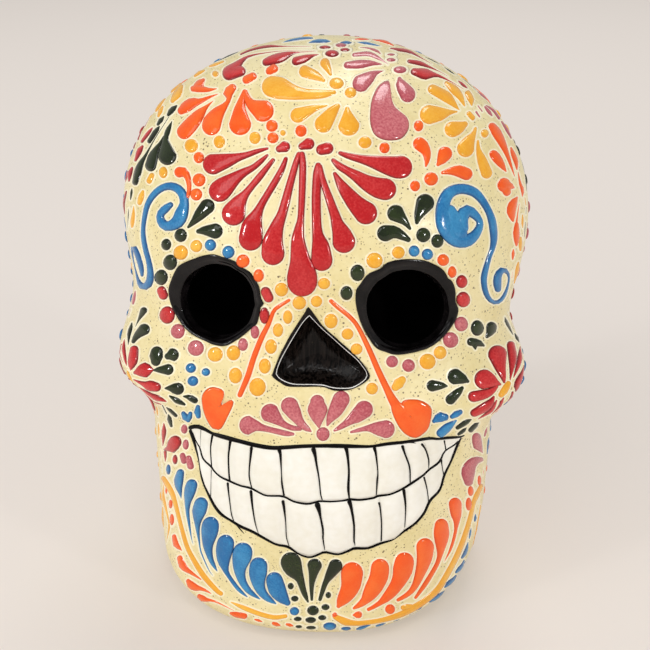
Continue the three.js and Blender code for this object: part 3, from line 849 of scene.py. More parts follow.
def close(piece, inside=False):
    """Merges a finished mesh's seams and turns its faces out, or in for a cup."""
    select_only(piece)
    bpy.ops.object.mode_set(mode="EDIT")
    bpy.ops.mesh.select_all(action="SELECT")
    bpy.ops.mesh.remove_doubles(threshold=0.00001)
    bpy.ops.mesh.dissolve_degenerate(threshold=0.000001)
    bpy.ops.mesh.normals_make_consistent(inside=inside)
    bpy.ops.object.mode_set(mode="OBJECT")
    bpy.ops.object.shade_smooth()


def dress(piece, material, slot, *nodes):
    """Gives a finished piece its glaze and ties it to the frame."""
    piece.data.materials.append(material)
    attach(piece, "root")
    if nodes:
        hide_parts(*nodes)


WIDE_COLUMNS = (-1, -0.93, -0.78, -0.45, 0, 0.45, 0.78, 0.93, 1)
DOT_COLUMNS = (-1, -0.85, -0.45, 0, 0.45, 0.85, 1)
HALO_COLUMNS = (-1, -0.8, -0.55, 0, 0.55, 0.8, 1)
BLOB_SHARES = (1, 0.95, 0.87, 0.72, 0.45, 0.02)

halo = Slip()
covered = []


def lay_rows(slip, sheet, rows, columns):
    """Slip over rows of a sheet, paler at its tail and deeper at its head: partly the slip's thickness,
    partly a painted sheen.
    """
    tone = random.uniform(-0.2, 0.2)
    for i, (row, (left, middle, right)) in enumerate(zip(rows, sheet.places(rows))):
        # Tone leans to the thin colour at the tail and the thick at the head: partly thinner slip, partly
        # painted sheen.
        tone_and_sheen = tone + lerp(0.3, -0.3, i / (len(rows) - 1))
        for column in columns:
            height, crest = slip_height(row.depth(column) * sheet.unit, row.own * sheet.unit)
            slip.put(middle.lerp(left if column < 0 else right, abs(column)), height, crest, tone_and_sheen)
        covered.append((middle, row.half * sheet.unit * MM))
    slip.add_grid(len(rows), len(columns))


def lay_halo(sheet, rows):
    for row, (left, middle, right) in zip(rows, sheet.places(rows)):
        for column in HALO_COLUMNS:
            height, strength = halo_height(-row.depth(column) * sheet.unit)
            while abs(column) > 0.1 and sheet.under_cup(row.place + row.side * row.half * column):
                column *= 0.8
                height = -HALO_UNDER_CUP
            halo.put(middle.lerp(left if column < 0 else right, abs(column)), height, strength, 0)
    halo.add_grid(len(rows), len(HALO_COLUMNS))


def lay(slip, sheet, knots, columns=WIDE_COLUMNS, haloed=True, most=1.4):
    """Lays one stroke of slip along a drawn line, over the pale halo that shows round it."""
    knots = sheet.spread(knots, most)
    lay_rows(slip, sheet, stroke_rows(knots, sheet.gap), columns)
    if haloed:
        lay_halo(sheet, stroke_rows(knots, sheet.gap, HALO_WIDTH / sheet.unit))


def dot(slip, sheet, x, y, width, height=None):
    """An oval dot over its halo."""
    middle = Vector((x, y))
    halves = Vector((width + sheet.dot_spread, (height or width) + sheet.dot_spread)) / 2
    lay_rows(slip, sheet, oval_rows(middle, halves), DOT_COLUMNS)
    lay_halo(sheet, oval_rows(middle, halves, HALO_WIDTH / sheet.unit))


def blob(slip, sheet, outline):
    """A stroke with a drawn outline, in rings from the outline to its middle."""
    middle = sum((Vector(p) for p in outline), Vector((0, 0))) / len(outline)
    ring = evenly(curve_through(outline, closed=True), 3, 24)[:-1]
    half = min((p - middle).length for p in ring) * sheet.unit
    tone = random.uniform(-0.2, 0.2)
    for share in BLOB_SHARES:
        for p in ring:
            height, crest = slip_height((1 - share) * (p - middle).length * sheet.unit, half)
            slip.put(sheet.spot(middle.lerp(p, share)), height, crest, tone)
    slip.add_rings(len(BLOB_SHARES), len(ring))
    outside = (1, 0.5, 0)
    for share in outside:
        for p in ring:
            grown = p + (p - middle).normalized() * share * HALO_WIDTH / sheet.unit
            height, strength = halo_height(share * HALO_WIDTH)
            halo.put(sheet.spot(grown), height, strength, 0)
    halo.add_rings(len(outside), len(ring))


# Strokes that stand for their own solids, in pixels: across, down and width, from tail to head

FOREHEAD_FAN = [
    [(267.5, 148.6, 2.2), (258, 151.2, 4), (247, 155, 5.5), (238, 157.5, 8), (228, 160.5, 13.5),
     (213.5, 164.3, 20.5)],
    [(267.3, 155.5, 2.4), (261, 161.3, 4.5), (253, 167.8, 5.5), (244, 172.5, 8), (235, 178.5, 12.5),
     (225, 186.5, 20), (220, 191, 21.5)],
    [(273, 160.3, 3.4), (260, 176.5, 6), (252.5, 185.5, 6), (245.5, 194, 7.5), (239.5, 202, 14.5),
     (234.5, 211.5, 23), (233.8, 213.5, 23.5)],
    [(285.8, 159, 3.4), (282.5, 168, 5), (276.5, 179.5, 6), (263, 202, 6.5), (257.5, 213, 10),
     (252.5, 225, 20), (250.8, 238.5, 23.5)],
    [(299, 154.5, 4.5), (296, 163, 5.5), (289.3, 187, 7), (286, 200, 8), (282, 214, 9),
     (276.5, 228, 13.5), (272.8, 242, 20), (273, 253.3, 22.8)],
    [(302, 154.5, 5), (302.8, 166, 6.3), (302, 195, 6), (300.8, 218, 5.8), (299.3, 228, 8.5),
     (298, 240, 12.6), (300, 258, 19), (301.2, 266, 24.5), (302, 275, 29.5), (302.2, 281, 30)],
    [(318.2, 165.5, 5), (317, 175, 7.5), (316.2, 200, 8.3), (316.8, 225, 8.7), (318, 236, 11),
     (320.5, 246, 17), (321.8, 260, 21)],
    [(319.5, 167, 5), (322.5, 180, 6), (326.5, 191, 6.5), (334.5, 214, 9), (337.5, 224, 12),
     (341.5, 233.5, 18.5), (343.7, 241.3, 22.5)],
    [(334.8, 173.8, 3), (338.5, 180.5, 6.5), (344, 189, 11), (350.5, 197.5, 14.5), (357.5, 205.5, 18),
     (365.5, 212.8, 22.5)],
    [(333.3, 160.5, 3.5), (339, 166, 6.5), (347, 170.8, 7.5), (356, 176, 10.5), (366, 182.5, 15),
     (377, 187.5, 20), (385, 189.3, 21.5)],
    [(340.3, 153.3, 3.5), (349, 156.3, 5.5), (360, 159, 7.5), (371, 161.5, 11), (383, 164.5, 16.5),
     (395, 167.2, 21.5), (400.5, 167.3, 22.5)],
]
LEFT_PLUMES = [
    [(287.5, 602.5, 5.5), (284.5, 599.5, 10), (280.5, 594.5, 14.5), (277, 588.5, 17.3),
     (274.5, 580.5, 16.5)],
    [(275.8, 603.5, 1.6), (270.5, 600, 5), (265.5, 596, 7), (261.5, 591, 9), (259.2, 585.5, 11.5),
     (258, 579, 15), (258, 572.5, 18), (258.6, 566.3, 17.6)],
    [(259.8, 598.8, 1.5), (253.5, 594.5, 4), (248, 589.5, 5.8), (243.5, 583, 7), (241, 576.5, 8.8),
     (239.9, 569.5, 12), (240.5, 563, 16), (241.9, 557, 19.3), (242.8, 552.4, 19.5)],
    [(247.3, 596.7, 1.4), (241.5, 592, 3), (236, 586, 3.6), (228, 574.5, 4), (225.5, 568.5, 6.5),
     (224, 561.5, 11.8), (224, 554.5, 15.4), (224.9, 548, 17.5), (225.7, 543.3, 17)],
    [(217.3, 571, 1.4), (214, 565.5, 3.6), (211, 559, 5), (208.9, 551, 7.5), (208.2, 544, 10.8),
     (209, 537.5, 14.3), (209.9, 531, 17.2), (210.6, 525.3, 17)],
    [(212.8, 575.3, 1.2), (208.5, 569, 1.6), (201.2, 552, 1.9), (199.6, 543, 2.1), (198, 531, 3.6),
     (197.8, 523.5, 6), (198.3, 517.5, 9.8), (199.3, 511.5, 14), (201.2, 504.2, 13.8)],
    [(193.2, 544, 1.2), (191.2, 536, 1.9), (188, 515, 3.5), (187.7, 507, 4.8), (188.3, 500, 7.4),
     (189.3, 495, 10.3), (190.5, 489.5, 11.8), (191.8, 485, 11.5)],
    [(181.4, 498.8, 1.2), (180.4, 493, 3.6), (179.2, 487, 7), (178.9, 480.5, 9.5), (180.6, 472.8, 7.5)],
]
RIGHT_PLUMES = [
    [(338.5, 606, 3.5), (340.8, 602, 9), (344.5, 597, 13.5), (348.3, 591, 16.5), (350.9, 584.5, 19.5),
     (352, 573.3, 22)],
    [(354, 608, 2.5), (359, 605, 5), (364, 601, 7.5), (368.3, 595.5, 12.5), (372.5, 589, 16),
     (376.3, 582.5, 17.3), (379.2, 575, 18.3), (380, 568, 18)],
    [(368.5, 609.3, 3), (374, 606.5, 3.6), (380, 602.5, 5), (386, 597.5, 8.5), (391.5, 591.5, 11),
     (396.5, 584.5, 12.8), (400.3, 577, 16), (402.6, 569.5, 19.5), (404.3, 562, 19)],
    [(398, 599.8, 3), (404, 596.5, 4), (410, 592, 5), (414.5, 586, 6.3), (417.3, 580, 7.8),
     (420, 572.5, 10), (422.5, 565, 12.6), (424.4, 556.5, 15.5), (425, 547, 17.6)],
    [(415.5, 597.5, 2.8), (425, 584, 4.5), (433.3, 570.5, 4.4), (437, 563.5, 4.4), (439.5, 556, 5),
     (440.4, 548.5, 8.5), (441, 540, 13.3), (441.3, 532.5, 15.5), (441.3, 525.5, 13.5)],
    [(444.3, 561.5, 1.3), (450.5, 549, 2.8), (454.5, 535.5, 3.2), (455.8, 528, 3.6), (456.3, 521, 6.3),
     (455.8, 514, 10.8), (455, 504, 12.8)],
]
LEFT_SCROLL = [
    (170.5, 205, 5.5), (165.5, 209, 8), (161, 214, 7.5), (161, 220, 8), (165, 225.5, 9.5),
    (171.5, 225.5, 10.5), (178.5, 221, 13), (182, 213, 13), (184.5, 204, 9), (183.5, 196, 8.5),
    (179, 189.5, 8.5), (171.5, 186.2, 7.8), (163.5, 187.5, 7), (156.5, 192.2, 6.5), (150.5, 199.5, 6),
    (146.5, 209, 5.2), (143.6, 226, 4.6), (143.8, 238, 5), (146, 250, 5.3), (149, 261, 5.3),
    (150.6, 271, 6.3), (150.3, 279.5, 7.5), (147.5, 285.5, 8), (142, 286, 7), (138.3, 280.5, 4),
    (135.5, 270, 2.5), (133, 259, 2.5), (132, 250, 3.5), (133.8, 246.5, 5), (136.5, 251.5, 5.5),
    (139.5, 260, 5.7), (141.7, 269, 5.2), (142.2, 275, 3.5),
]
RIGHT_SCROLL = [
    (463, 228, 10), (461.5, 218, 13), (468, 210.5, 11), (479.3, 221, 6.5), (476.5, 232.5, 8.5),
    (467, 240.5, 12.5), (455, 239.5, 14), (446, 228, 17), (443.5, 214, 16.5), (443.5, 203, 12.5),
    (448.5, 193.5, 11.5), (457, 189.3, 10), (466, 189.3, 9.8), (475, 193, 9), (482, 200.5, 7.5),
    (488, 210.5, 6.8), (491.5, 220, 7.6), (493.2, 231, 7.6), (493.4, 241, 6.4), (491.6, 250, 4.9),
    (488.3, 259, 4.8), (484, 275, 6), (483.8, 284, 5.7), (485.8, 293, 5.4), (490, 300, 4.6),
    (495.6, 302.6, 4.3), (501, 299.8, 4.2), (505.3, 293, 3.6), (508, 284.5, 2.8), (508.8, 277, 2.8),
    (506.5, 271.5, 4.5), (501.5, 270.3, 6.5), (497.7, 275.5, 7.5), (497, 283, 8.3), (497.6, 289, 6.5),
]
LEFT_TRAIL = [
    (289, 300.2, 2.6), (278, 307, 3), (273.5, 311.5, 3.2), (268.5, 324, 4), (261.5, 338, 4.6),
    (254, 357, 4.8), (248.3, 375, 5), (242.5, 389, 4.5), (240, 394.8, 4.2),
]
LEFT_HEART = [
    (213, 386.8), (205.5, 390), (201.5, 398.5), (204.5, 415), (211.5, 427.5), (216, 429.6),
    (221.5, 428.5), (229, 414.5), (233.6, 404), (233, 400.3), (230, 400), (226.5, 403), (223, 405.5),
    (221.2, 403.5), (224, 396.5), (223, 390),
]
RIGHT_SCROLL_BODY = [(449, 212, 14), (453, 222, 20), (458, 233, 18)]
RIGHT_TRAIL = [
    (331, 301, 4.5), (337, 306.5, 5), (350, 317, 5), (358, 327, 5), (368.5, 348, 5.8), (378, 370, 6.5),
    (387, 389, 7.5), (391.5, 398, 9), (397, 407, 11),
]
RIGHT_DROP = [
    (391, 402), (397, 400), (401, 403), (405, 399.7), (418, 399.5), (428, 404), (432, 411), (429, 427),
    (423, 434), (416, 438), (408, 436), (401, 430), (395, 420), (391.3, 410),
]


def stroke_pieces(prefix, strokes, slot):
    for i, knots in enumerate(strokes, 1):
        slip = Slip()
        lay(slip, photo, knots)
        name = f"{prefix}_{i:02d}"
        slip.finish(f"{name}_slip", SLIPS[slot], slot, name)


def make_own_pieces():
    stroke_pieces("forehead_petal", FOREHEAD_FAN, "red_slip")
    stroke_pieces("jaw_plume_left", LEFT_PLUMES, "blue_slip")
    stroke_pieces("jaw_plume_right", RIGHT_PLUMES, "orange_slip")
    for word, knots in (("left", LEFT_SCROLL), ("right", RIGHT_SCROLL)):
        slip = Slip()
        lay(slip, photo, knots)
        if word == "right":
            lay(slip, photo, RIGHT_SCROLL_BODY)
        slip.finish(f"brow_scroll_{word}_slip", SLIPS["blue_slip"], "blue_slip", f"brow_scroll_{word}")
    trail, heart, tear = Slip(), Slip(), Slip()
    lay(trail, photo, LEFT_TRAIL)
    blob(heart, photo, LEFT_HEART)
    lay(tear, photo, RIGHT_TRAIL, most=0)
    blob(tear, photo, RIGHT_DROP)
    for slip, name in ((trail, "tear_trail_left"), (heart, "tear_drop_left"), (tear, "tear_right")):
        slip.finish(f"{name}_slip", SLIPS["orange_slip"], "orange_slip", name)


make_own_pieces()

# The rest of the front's slip, in the same form: first the crown and the brow

CROWN_STROKES = {
    "red_slip": [
        [(279.5, 149, 6.5), (284.5, 147, 10.5)], [(302, 146.5, 6.5), (308.5, 144, 11)],
        [(321.5, 149.8, 10), (327.5, 148.5, 11)],
        [(311, 46.8, 1.2), (285, 46.3, 2), (268, 46.3, 4.5), (252, 49.5, 4), (241, 54, 3)],
        [(315, 51, 1), (285, 51, 1.4), (262, 53.5, 2), (250, 56, 2.8), (243, 60, 4.5), (238, 65, 8),
         (231, 72, 14)],
        [(240.5, 71.5, 10.5), (229.5, 73.5, 14.5)],
        [(316, 51.3, 1.2), (300, 52.5, 2), (292, 53.5, 4), (282, 57.5, 9.5), (272, 60.5, 9.5),
         (266, 62.5, 7.5)],
        [(319, 54.5, 1.2), (312, 56, 3.5), (305, 59, 7.5), (296, 61.5, 8.5)],
        [(432, 64, 1.2), (420, 57, 2.5), (409, 51.5, 5.5), (398, 49.5, 5), (391, 48.2, 2.5)],
        [(448, 76.5, 1.2), (438, 71, 1.8), (428, 66.5, 3), (420, 63.5, 5), (409, 61.5, 4)],
        [(464, 89.5, 1.2), (452, 82.5, 1.8), (440, 76.5, 3), (433, 75, 5.5), (425, 74.5, 11),
         (414, 72, 7)],
        [(467, 88, 2), (462.5, 84.5, 4), (458.5, 81, 2)], [(148, 118, 1.5), (145, 126, 2)],
        [(140, 133, 3), (138, 139, 3)], [(134.5, 142, 3), (133.5, 147, 3.5)],
        [(152.5, 128, 2), (148.5, 133, 4), (142, 141.5, 3.5)],
        [(142.5, 146.5, 3), (139.5, 151.5, 6), (135.5, 160.5, 3)],
        [(132, 168, 3), (129.5, 174, 6.5), (129, 181, 2.5)],
        [(127, 172, 3), (126, 178, 3), (125.5, 182, 1.5)],
        [(126, 192, 3), (123.8, 203, 4.5), (124.5, 214, 2)], [(161.8, 290.6, 9), (163.6, 295.2, 9)],
        [(265.8, 291.8, 9.3), (268.6, 297.4, 9.3)],
    ],
    "orange_slip": [
        [(217, 88.8, 1.5), (208, 90, 4.5), (198, 88.5, 8), (193.5, 89, 6)],
        [(195, 89, 6), (200, 84, 8.5), (203.5, 80, 3.5)],
        [(218.5, 94, 1.4), (209, 97.5, 3), (200, 101.5, 5.5), (193, 103, 10.5), (186, 107.5, 11),
         (181.5, 111, 7.5)],
        [(213.5, 100.8, 1.3), (206, 107.5, 4), (199, 115.5, 11), (191, 125, 14.5), (184.5, 132, 14.5)],
        [(232.5, 88, 7.5), (228, 93.5, 10), (229, 99.5, 4.2), (225, 106, 6), (218, 113.5, 13),
         (212.5, 122.5, 18.5), (211.5, 126, 18.5)],
        [(245, 92.5, 5.5), (242, 100, 6.5), (240, 110, 12), (240.2, 124, 22)],
        [(245.2, 93, 5.5), (247.5, 99, 7), (252, 105, 11), (262.5, 110.8, 22)],
        [(246.5, 80, 8), (253, 76.5, 7.5)], [(269.5, 71.3, 7.5), (274, 68.8, 8.5)],
        [(187.8, 197, 3), (189.3, 190, 3.8), (189, 182.5, 4.6), (187, 175.5, 6.5), (182.5, 171.8, 10.5),
         (180, 172.3, 10.5)],
        [(373, 38.5, 2), (381, 39.5, 5.5), (388, 41.8, 6), (394, 45, 2)],
        [(425.8, 166, 2), (427, 160, 5), (426.3, 152.5, 8.5), (421.5, 145.5, 13), (419.5, 144, 12.5)],
        [(438, 164.5, 3), (441.5, 160, 9.5), (444.8, 154, 14)],
        [(442.5, 172.8, 2.8), (450, 171.3, 6.5), (458.5, 171.2, 11.5), (466, 174, 12)],
        [(514.5, 176.5, 1.5), (510.5, 164.5, 3), (506, 152.5, 5), (501, 141.5, 8), (496, 132.5, 9.5),
         (492, 126.5, 7.5)],
        [(506, 171.5, 1.8), (502, 166, 6), (497, 159, 9), (493.5, 154.5, 8.5)],
        [(514, 187.8, 2), (510.5, 186.5, 7), (504, 185.5, 13.5)], [(504, 184, 12), (506.5, 192, 8)],
        [(516.8, 169.5, 2), (516, 162, 5), (513, 154, 5), (511, 148, 2.5)],
        [(518, 172, 1.5), (520, 183, 3), (522.5, 190, 4), (522.3, 196.5, 1.8)],
        [(517, 197.5, 2.5), (513, 203, 8), (510.8, 211, 9), (511.8, 217, 6), (512.7, 220.5, 3)],
        [(519, 204, 1.5), (517.5, 214, 2), (516.5, 222, 2.5)],
        [(516.5, 224, 4), (516, 232, 6.5), (516.3, 240, 5.5), (516.3, 245.5, 2.5)],
        [(513.3, 249.5, 2), (513, 254, 3.5), (512.5, 259.5, 2)], [(512.5, 271, 1), (511.8, 278, 1.5)],
        [(511.5, 292, 1.5), (510.3, 299, 1.2)],
    ],
    "yellow_slip": [
        [(223, 61.5, 3), (215, 64.5, 4.5), (210, 66, 3.5)],
        [(204, 70.5, 3), (199, 73, 6), (195.5, 75.5, 4.5)],
        [(181, 87, 6), (177, 94, 9.5), (172.5, 101, 4.5)], [(180, 83, 5), (172, 90, 6)],
        [(164, 99, 4), (160, 105, 6), (156.5, 110, 4.5)],
        [(162.5, 107, 3), (160, 112, 5), (158.5, 116, 3)],
        [(334, 92.5, 4), (322, 94.3, 8.2), (305, 94.3, 10.5), (292, 92.3, 15.5), (280, 88.5, 22),
         (272.5, 87, 21)],
        [(323.5, 80.5, 3.5), (316, 76, 9), (305, 71.8, 12)],
        [(330.5, 74.5, 3), (328.5, 70, 6), (325, 63.5, 10)],
        [(327, 105.7, 1.6), (318, 107.5, 4.5), (309, 110.8, 9), (298, 115.5, 14.5)],
        [(337.5, 106.5, 5), (332.5, 112, 10.5), (323.5, 124, 17)],
        [(347.2, 109, 4), (347.5, 114, 9), (348.7, 125, 21)],
        [(459.5, 110.3, 1.4), (453, 103.8, 6), (446, 97, 10.5), (432.5, 89.5, 9.5)],
        [(464.5, 106, 2), (460, 97, 6.5), (454, 90, 8.5), (446.5, 83.5, 4.5)],
        [(471.7, 105.3, 2.2), (471, 100, 6.5), (467.5, 93.5, 6)],
        [(456.5, 111.7, 2.2), (449, 112.5, 5.5), (441, 114, 13), (429.5, 114.8, 19)],
        [(469, 114, 5), (472.5, 118, 5)], [(464.5, 124.5, 6), (459, 127.5, 12.5), (452.5, 129.5, 15.5)],
        [(475.3, 128.5, 3), (473.5, 134, 5), (469, 141, 11.5), (465.5, 148.5, 17)],
        [(477.8, 141, 2.5), (478.3, 150, 4.5), (481.5, 160, 9), (486.3, 173, 11)],
        [(152, 175.5, 5), (149.5, 181, 5.5)], [(143, 191.5, 3), (141.5, 197, 6), (139.8, 203, 4.5)],
        [(133.8, 206, 1.5), (133.5, 214, 3.5), (132.5, 222, 4.5), (132.2, 226.5, 3)],
        [(130.5, 263, 2.5), (131.5, 269, 2.5)], [(522.5, 215, 2), (522.5, 222, 3), (522.5, 228, 1.5)],
        [(525, 198, 2), (526, 205, 2)], [(520.5, 238, 3), (520.5, 244, 4.5), (520.5, 250, 3)],
        [(518.5, 263, 3), (517.5, 269, 6), (516, 276, 4.5), (514.5, 283, 2.5)],
    ],
    "green_slip": [
        [(176.5, 106, 2.5), (172.5, 110, 6), (168.5, 114.8, 3.5)],
        [(169, 117, 1.6), (155, 139, 1.8), (146, 155, 3), (141.5, 163, 5.5), (138.5, 171, 7.5),
         (135.5, 182.5, 6)],
        [(164, 116.5, 2), (161, 120.5, 5), (158, 124.5, 3)],
        [(172, 121.5, 1.6), (168.5, 130, 5), (166, 138, 5), (166.2, 144, 8.5), (167.5, 155.8, 18.6)],
        [(163.5, 136, 1.4), (160.5, 143, 3), (157, 149, 6), (153.5, 157, 10), (151, 166, 11)],
        [(159.5, 126.5, 2), (156, 131.5, 5), (149.5, 141.5, 4.5)],
        [(218, 60, 1.5), (228, 55, 3), (238, 50.5, 2)],
        [(132, 189, 2), (131.5, 193, 3), (130.7, 199.5, 2)],
        [(129, 208, 1), (128.3, 215, 2), (127.5, 230, 1)],
        [(128.6, 243, 1.2), (129.2, 248, 1.6), (130, 252.5, 1)],
        [(425, 56.5, 1.5), (433, 60, 2.5), (440, 64, 1.2)],
        [(444, 66.5, 1.2), (450, 71, 3), (455.5, 74.5, 1.2)], [(461, 77, 1), (468, 82, 2), (478, 92, 1)],
        [(521, 156, 1), (524, 164, 2), (525.5, 172, 1.5)],
        [(525.5, 178, 1.5), (526.5, 186, 2), (526.5, 192, 1)], [(526.5, 207, 1.5), (526, 214, 1.5)],
        [(525.5, 222, 1.5), (525, 230, 2), (524, 240, 1)],
        [(188.5, 227, 2.5), (194, 221.5, 6), (200, 214.5, 11), (207.3, 206.5, 14.5)],
        [(198.5, 231.3, 4), (204.5, 230.5, 8.5), (215, 231, 15)],
        [(409.8, 228.5, 2.5), (405, 222, 6.5), (396, 213.6, 16.8)],
        [(408, 239.5, 4.5), (401.5, 235.3, 8.5), (394, 232, 12), (385.5, 233.2, 15.8)],
        [(416.8, 222.5, 3), (418.5, 215.5, 8.5), (424.8, 203.3, 18)],
    ],
    "blue_slip": [
        [(283, 42, 1.5), (290, 40, 4), (303, 38, 5), (312, 37.5, 3)],
        [(309, 42.5, 2), (316, 41, 5), (326, 41, 5), (330, 41, 2)],
        [(357, 41.8, 1.2), (366, 43, 4), (376, 45, 2.5), (381, 46, 1)],
        [(123.5, 217, 2), (125, 224, 2.5), (126, 230, 1.5)],
    ],
    "pink_slip": [
        [(381, 54.5, 1.2), (377, 51, 3), (369, 48.3, 2.5), (360, 47.5, 1.5)],
        [(388, 64.5, 1.2), (383, 61, 2.2), (377, 57.5, 4), (368, 54, 5), (354, 55, 4)],
        [(382, 64.5, 1.5), (372, 63.5, 5), (360, 64.5, 8.5), (347, 65.5, 6.5)],
        [(383.5, 71, 1.4), (376, 73, 4.5), (369.5, 77.5, 11.5), (361, 83.5, 17)],
        [(399.5, 79, 4), (401, 85, 11), (407.5, 94.5, 15.5)],
        [(478, 91.5, 2), (483, 95.5, 4.5), (487.5, 99, 2)],
        [(486, 105.5, 2), (493, 110, 4), (499, 118, 4)], [(502, 122, 3), (507, 130, 5), (511, 137.5, 3)],
        [(478, 106, 2), (482, 111.5, 2)], [(476, 112, 2.5), (479.5, 117, 2)],
        [(485, 107, 2.5), (489, 112, 4), (492, 116, 2)],
    ],
}

# Dots: middle across and down, width and height
CROWN_DOTS = {
    "red_slip": [(332, 53.8, 14, 6), (325, 47.3, 12, 3), (345, 50, 10, 3)],
    "orange_slip": [
        (272, 126, 11.5, 11), (273, 138, 11, 10), (301, 131, 11, 11), (199, 157.7, 10, 10.5),
        (199.3, 180, 12.5, 12.5), (196.5, 194.5, 11.5, 11.5), (362, 37.5, 16, 3), (431, 179, 13.5, 12.5),
        (415, 186, 9.5, 10), (384.5, 148, 10, 10), (418.5, 126, 9, 10), (243, 261, 13, 12.5),
        (258.7, 275.5, 10, 12), (443, 260, 11.5, 11), (452, 272, 8, 11),
    ],
    "yellow_slip": [
        (215.5, 74, 6, 5), (336.5, 83.5, 14.5, 10.5), (350.5, 92.8, 11.5, 9.5), (255, 138, 11, 11.5),
        (283, 133, 5, 5), (365, 142.5, 13, 11), (191.5, 146, 13, 13), (219.5, 142, 11, 12),
        (484.5, 133.5, 7, 7.5), (163.5, 172.5, 8, 11), (181, 252.5, 14, 14), (196.5, 246, 11.5, 11.5),
        (281.5, 289.5, 13, 13), (324, 283.5, 12, 10.5), (374.5, 260.5, 16, 15),
        (398.3, 252.5, 12.5, 11.5),
    ],
    "green_slip": [
        (181, 235.3, 12, 13), (166.5, 244.5, 9.5, 11), (170.5, 262.3, 13.5, 15), (161.5, 277.3, 13, 15),
        (357.5, 272.8, 14, 16), (346.5, 293, 12, 13.5), (423.2, 235, 14, 14), (437.2, 241, 12, 13),
    ],
    "blue_slip": [
        (346, 42, 12, 3.5), (210.6, 245, 11, 11), (228.5, 252, 12, 12), (414, 251, 10.5, 10.5),
        (427.3, 254.3, 11, 10.5),
    ],
    "pink_slip": [(400, 70, 13, 6), (391, 60, 9, 3), (391, 54.7, 8, 1.8), (341, 45, 11, 4)],
}

# Then the cheeks and the lip

